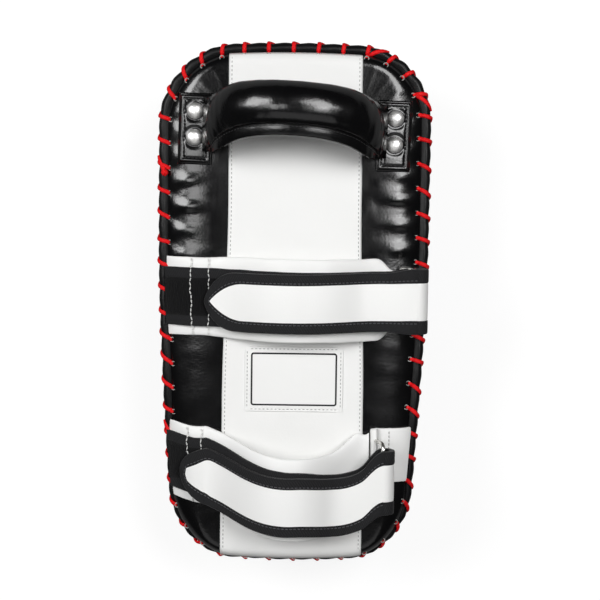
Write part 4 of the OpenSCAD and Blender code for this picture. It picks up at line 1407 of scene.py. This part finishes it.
def ring_tab(strap):
    """The white leather loop that holds a ring, its ends under the rolled edge, sewn behind the wire."""
    name, root, half, middle = strap.name, strap.root, strap.half, strap.y + strap.tab_shift
    loop_r = WIRE_R + 0.3 + RING_TAB_T / 2
    seam_x, seam_half, seam_steps = root.x + 11, RING_TAB_WIDTH / 2 - 1.5, 20
    tuck = tucked(strap.y, 1)
    first, last = panel_start(tuck) + 0.8, half - root.x - 2.5
    insets = [mix(first, last, (i / 7) ** 1.5) for i in range(8)]
    lower = [Vector((half - i, dome_z(i, tuck) + 0.3 + RING_TAB_T / 2)) for i in insets]
    upper = [p + Vector((0.2, RING_TAB_T + 0.25)) for p in lower]
    turns = [math.radians(-70 - 220 * i / 16) for i in range(17)]
    around = [root + loop_r * Vector((math.cos(a), math.sin(a))) for a in turns]
    path = smooth_path(lower + around + upper[::-1], 90)

    def place(u, v):
        p, off = path.at(u)
        c, s = circle(v)
        side = RING_TAB_WIDTH / 2 * squarer(c, 0.22)
        lift = RING_TAB_T / 2 * squarer(s, 0.6)
        ragged = 0.5 * noise.noise(Vector((p.x * 0.22, math.copysign(3.0, c), strap.y)))
        y = middle + side + math.copysign(ragged, c) * abs(c) ** 4
        shift = (half_width(y) - half) * ease(root.x, half - 10, p.x)
        return Vector((p.x + off.x * lift + shift, y, p.y + off.y * lift))

    piece = formed_piece(
        f"{name}_ring_tab_leather", WHITE_LEATHER, [f"{name}_ring_tab"], (90, 26), place,
    )
    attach(piece, "pad")
    seam_z = max(p.y for p in path.points if abs(p.x - seam_x) < 2) + RING_TAB_T / 2
    sides = [mix(-seam_half, seam_half, i / seam_steps) for i in range(seam_steps + 1)]
    line = [(Vector((seam_x, middle + side, seam_z)), UP) for side in sides]
    piece = stitched(f"{name}_ring_tab_stitches", GREY_THREAD_PAINTED_SHADE, "white_leather", [line], 3.0, 0.8)
    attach(piece, "pad")


# The label
def label():
    """A bare sewn patch with a plain printed border."""
    seat = DECK + PANEL_T + 0.3
    w, h, r = LABEL_WIDTH / 2, LABEL_HEIGHT / 2, 4.0
    seam_inset, border_inset, border_r, border_width = 2.2, 5.0, 2.2, 1.3

    def on_label(x, y, lift):
        return Vector((LABEL_X + x, LABEL_Y + y, seat + lift))

    def patch(u, v):
        x, y = mix(-w, w, u), mix(-h, h, v)
        cx, cy = max(abs(x) - (w - r), 0.0), max(abs(y) - (h - r), 0.0)
        if cx and cy:
            scale = max(cx, cy) / math.hypot(cx, cy)
            x = math.copysign(w - r + cx * scale, x)
            y = math.copysign(h - r + cy * scale, y)
        edge = min(w - abs(x), h - abs(y))
        rise = 0.8 * math.sqrt(1 - (1 - clamp01(edge / 0.9)) ** 2) - 0.25 * bump_at(edge, seam_inset, 0.7)
        return on_label(x, y, max(rise, 0.0))

    piece = formed_piece(
        "label_patch_leather", WHITE_LEATHER, ["label_patch"], (96, 64), patch,
    )
    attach(piece, "pad")

    bx, by = w - border_inset - border_r, h - border_inset - border_r
    route = rounded_loop(((bx, by), (-bx, by), (-bx, -by), (bx, -by)), border_r)

    def border(u, v):
        p, out = loop_at(route, u)
        side, lift = bar_section(-border_width, 0.0, 0.6, 1.0, v)
        q = p + out * side
        return on_label(q.x, q.y, lift)

    grid = (len(route), 12)
    piece = formed_piece("label_border_print", INK, ["label_border"], grid, border)
    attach(piece, "pad")

    seam_w, seam_h = w - seam_inset, h - seam_inset
    lines = box_lines(-seam_w, seam_w, -seam_h, seam_h, 20, 0.03, lambda x, y: on_label(x, y, 0.75))
    piece = stitched("label_stitches", GREY_THREAD_PAINTED_SHADE, "white_leather", lines, 3.0, 0.6, share=0.6)
    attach(piece, "pad")


strike_cover()
foam_layers()
back_panel()
centre_panel()
edge_piping()
edge_lace()
lace_holes()
handle_tabs()
rivet_caps()
handle_sleeve()
for strap in (UPPER, LOWER):
    liner(strap)
    band(strap)
    anchor_stitches(strap)
    flap(strap)
    ring(strap)
    ring_tab(strap)
label()
# The washers stay as their solids, in the metal of the rings
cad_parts["rivet_washers"].data.materials.clear()
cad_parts["rivet_washers"].data.materials.append(RING_METAL)


# Floor, light and camera
def studio_floor(scene):
    """A pale floor that glows for the camera, takes the pad's shadow and is clear from below."""
    glow_level, half_size, drop = 0.82, 6.0, 0.0005
    material, tree = new_material("pale_studio_floor")
    seen = add(tree, "ShaderNodeLightPath").outputs["Is Camera Ray"]
    glow = maths(tree, "MULTIPLY", seen, glow_level)
    matte = add(tree, "ShaderNodeBsdfDiffuse", {"Color": colour("#8c8c8c")})
    light = add(tree, "ShaderNodeEmission", {"Color": colour("#ffffff"), "Strength": glow})
    both = add(tree, "ShaderNodeAddShader", {0: matte.outputs[0], 1: light.outputs[0]})
    below = add(tree, "ShaderNodeNewGeometry").outputs["Backfacing"]
    clear = add(tree, "ShaderNodeBsdfTransparent")
    shown = add(tree, "ShaderNodeMixShader", {0: below, 1: both.outputs[0], 2: clear.outputs[0]})
    add(tree, "ShaderNodeOutputMaterial", {"Surface": shown.outputs[0]})
    bm = bmesh.new()
    bmesh.ops.create_grid(bm, x_segments=8, y_segments=8, size=half_size)
    mesh = bpy.data.meshes.new("studio_floor")
    bm.to_mesh(mesh)
    bm.free()
    mesh.materials.append(material)
    floor = bpy.data.objects.new("studio_floor", mesh)
    floor.location.z = -drop
    scene.collection.objects.link(floor)


def studio_light(scene):
    """A dim sky that is white to the camera, three softboxes, and two strips that only show as gloss."""
    dim, target = 0.035, Vector((0.0, 0.0, 0.1))
    world = bpy.data.worlds.new("studio")
    scene.world = world
    world.use_nodes = True
    tree = world.node_tree
    tree.nodes.clear()
    seen = add(tree, "ShaderNodeLightPath").outputs["Is Camera Ray"]
    level = add(tree, "ShaderNodeMapRange", {"Value": seen, "To Min": dim, "To Max": 1.0})
    sky = add(tree, "ShaderNodeBackground", {"Color": colour("#ffffff"), "Strength": level.outputs["Result"]})
    add(tree, "ShaderNodeOutputWorld", {"Surface": sky.outputs[0]})
    for name, place, size, watts, lights_matte in (
        ("left_softbox", (-1.45, 0.68, 1.8), (1.1, 0.9), 31.0, True),
        ("right_softbox", (0.86, 0.72, 2.0), (1.1, 0.9), 27.5, True),
        ("left_strip", (-0.43, 0.08, 1.2), (0.36, 0.34), 2.0, False),
        ("right_strip", (0.43, 0.08, 1.2), (0.36, 0.34), 2.0, False),
        ("foot_softbox", (0.0, -1.3, 1.6), (2.2, 1.2), 4.5, True),
    ):
        lamp = bpy.data.lights.new(name, "AREA")
        lamp.shape = "RECTANGLE"
        lamp.size, lamp.size_y = size
        lamp.energy = watts
        lamp_object = bpy.data.objects.new(name, lamp)
        lamp_object.location = place
        lamp_object.visible_diffuse = lights_matte
        lamp_object.rotation_euler = (target - Vector(place)).to_track_quat("-Z", "Y").to_euler()
        scene.collection.objects.link(lamp_object)


def photo_camera(scene):
    """The view of the photo: from above and a little from the head of the pad."""
    pitch, roll, distance = math.radians(6.0), math.radians(0.75), 1.2
    aim = Vector((0.0038, 0.005, 0.097))
    lens = bpy.data.cameras.new("photo_camera")
    lens.lens = 94.0
    lens.sensor_width = 36.0
    camera = bpy.data.objects.new("photo_camera", lens)
    camera.location = aim + distance * Vector((0, math.sin(pitch), math.cos(pitch)))
    camera.rotation_euler = (-pitch, 0, roll)
    scene.collection.objects.link(camera)
    scene.camera = camera


scene = bpy.context.scene
scene.view_settings.view_transform = "Standard"
studio_floor(scene)
studio_light(scene)
photo_camera(scene)
bpy.context.view_layer.update()
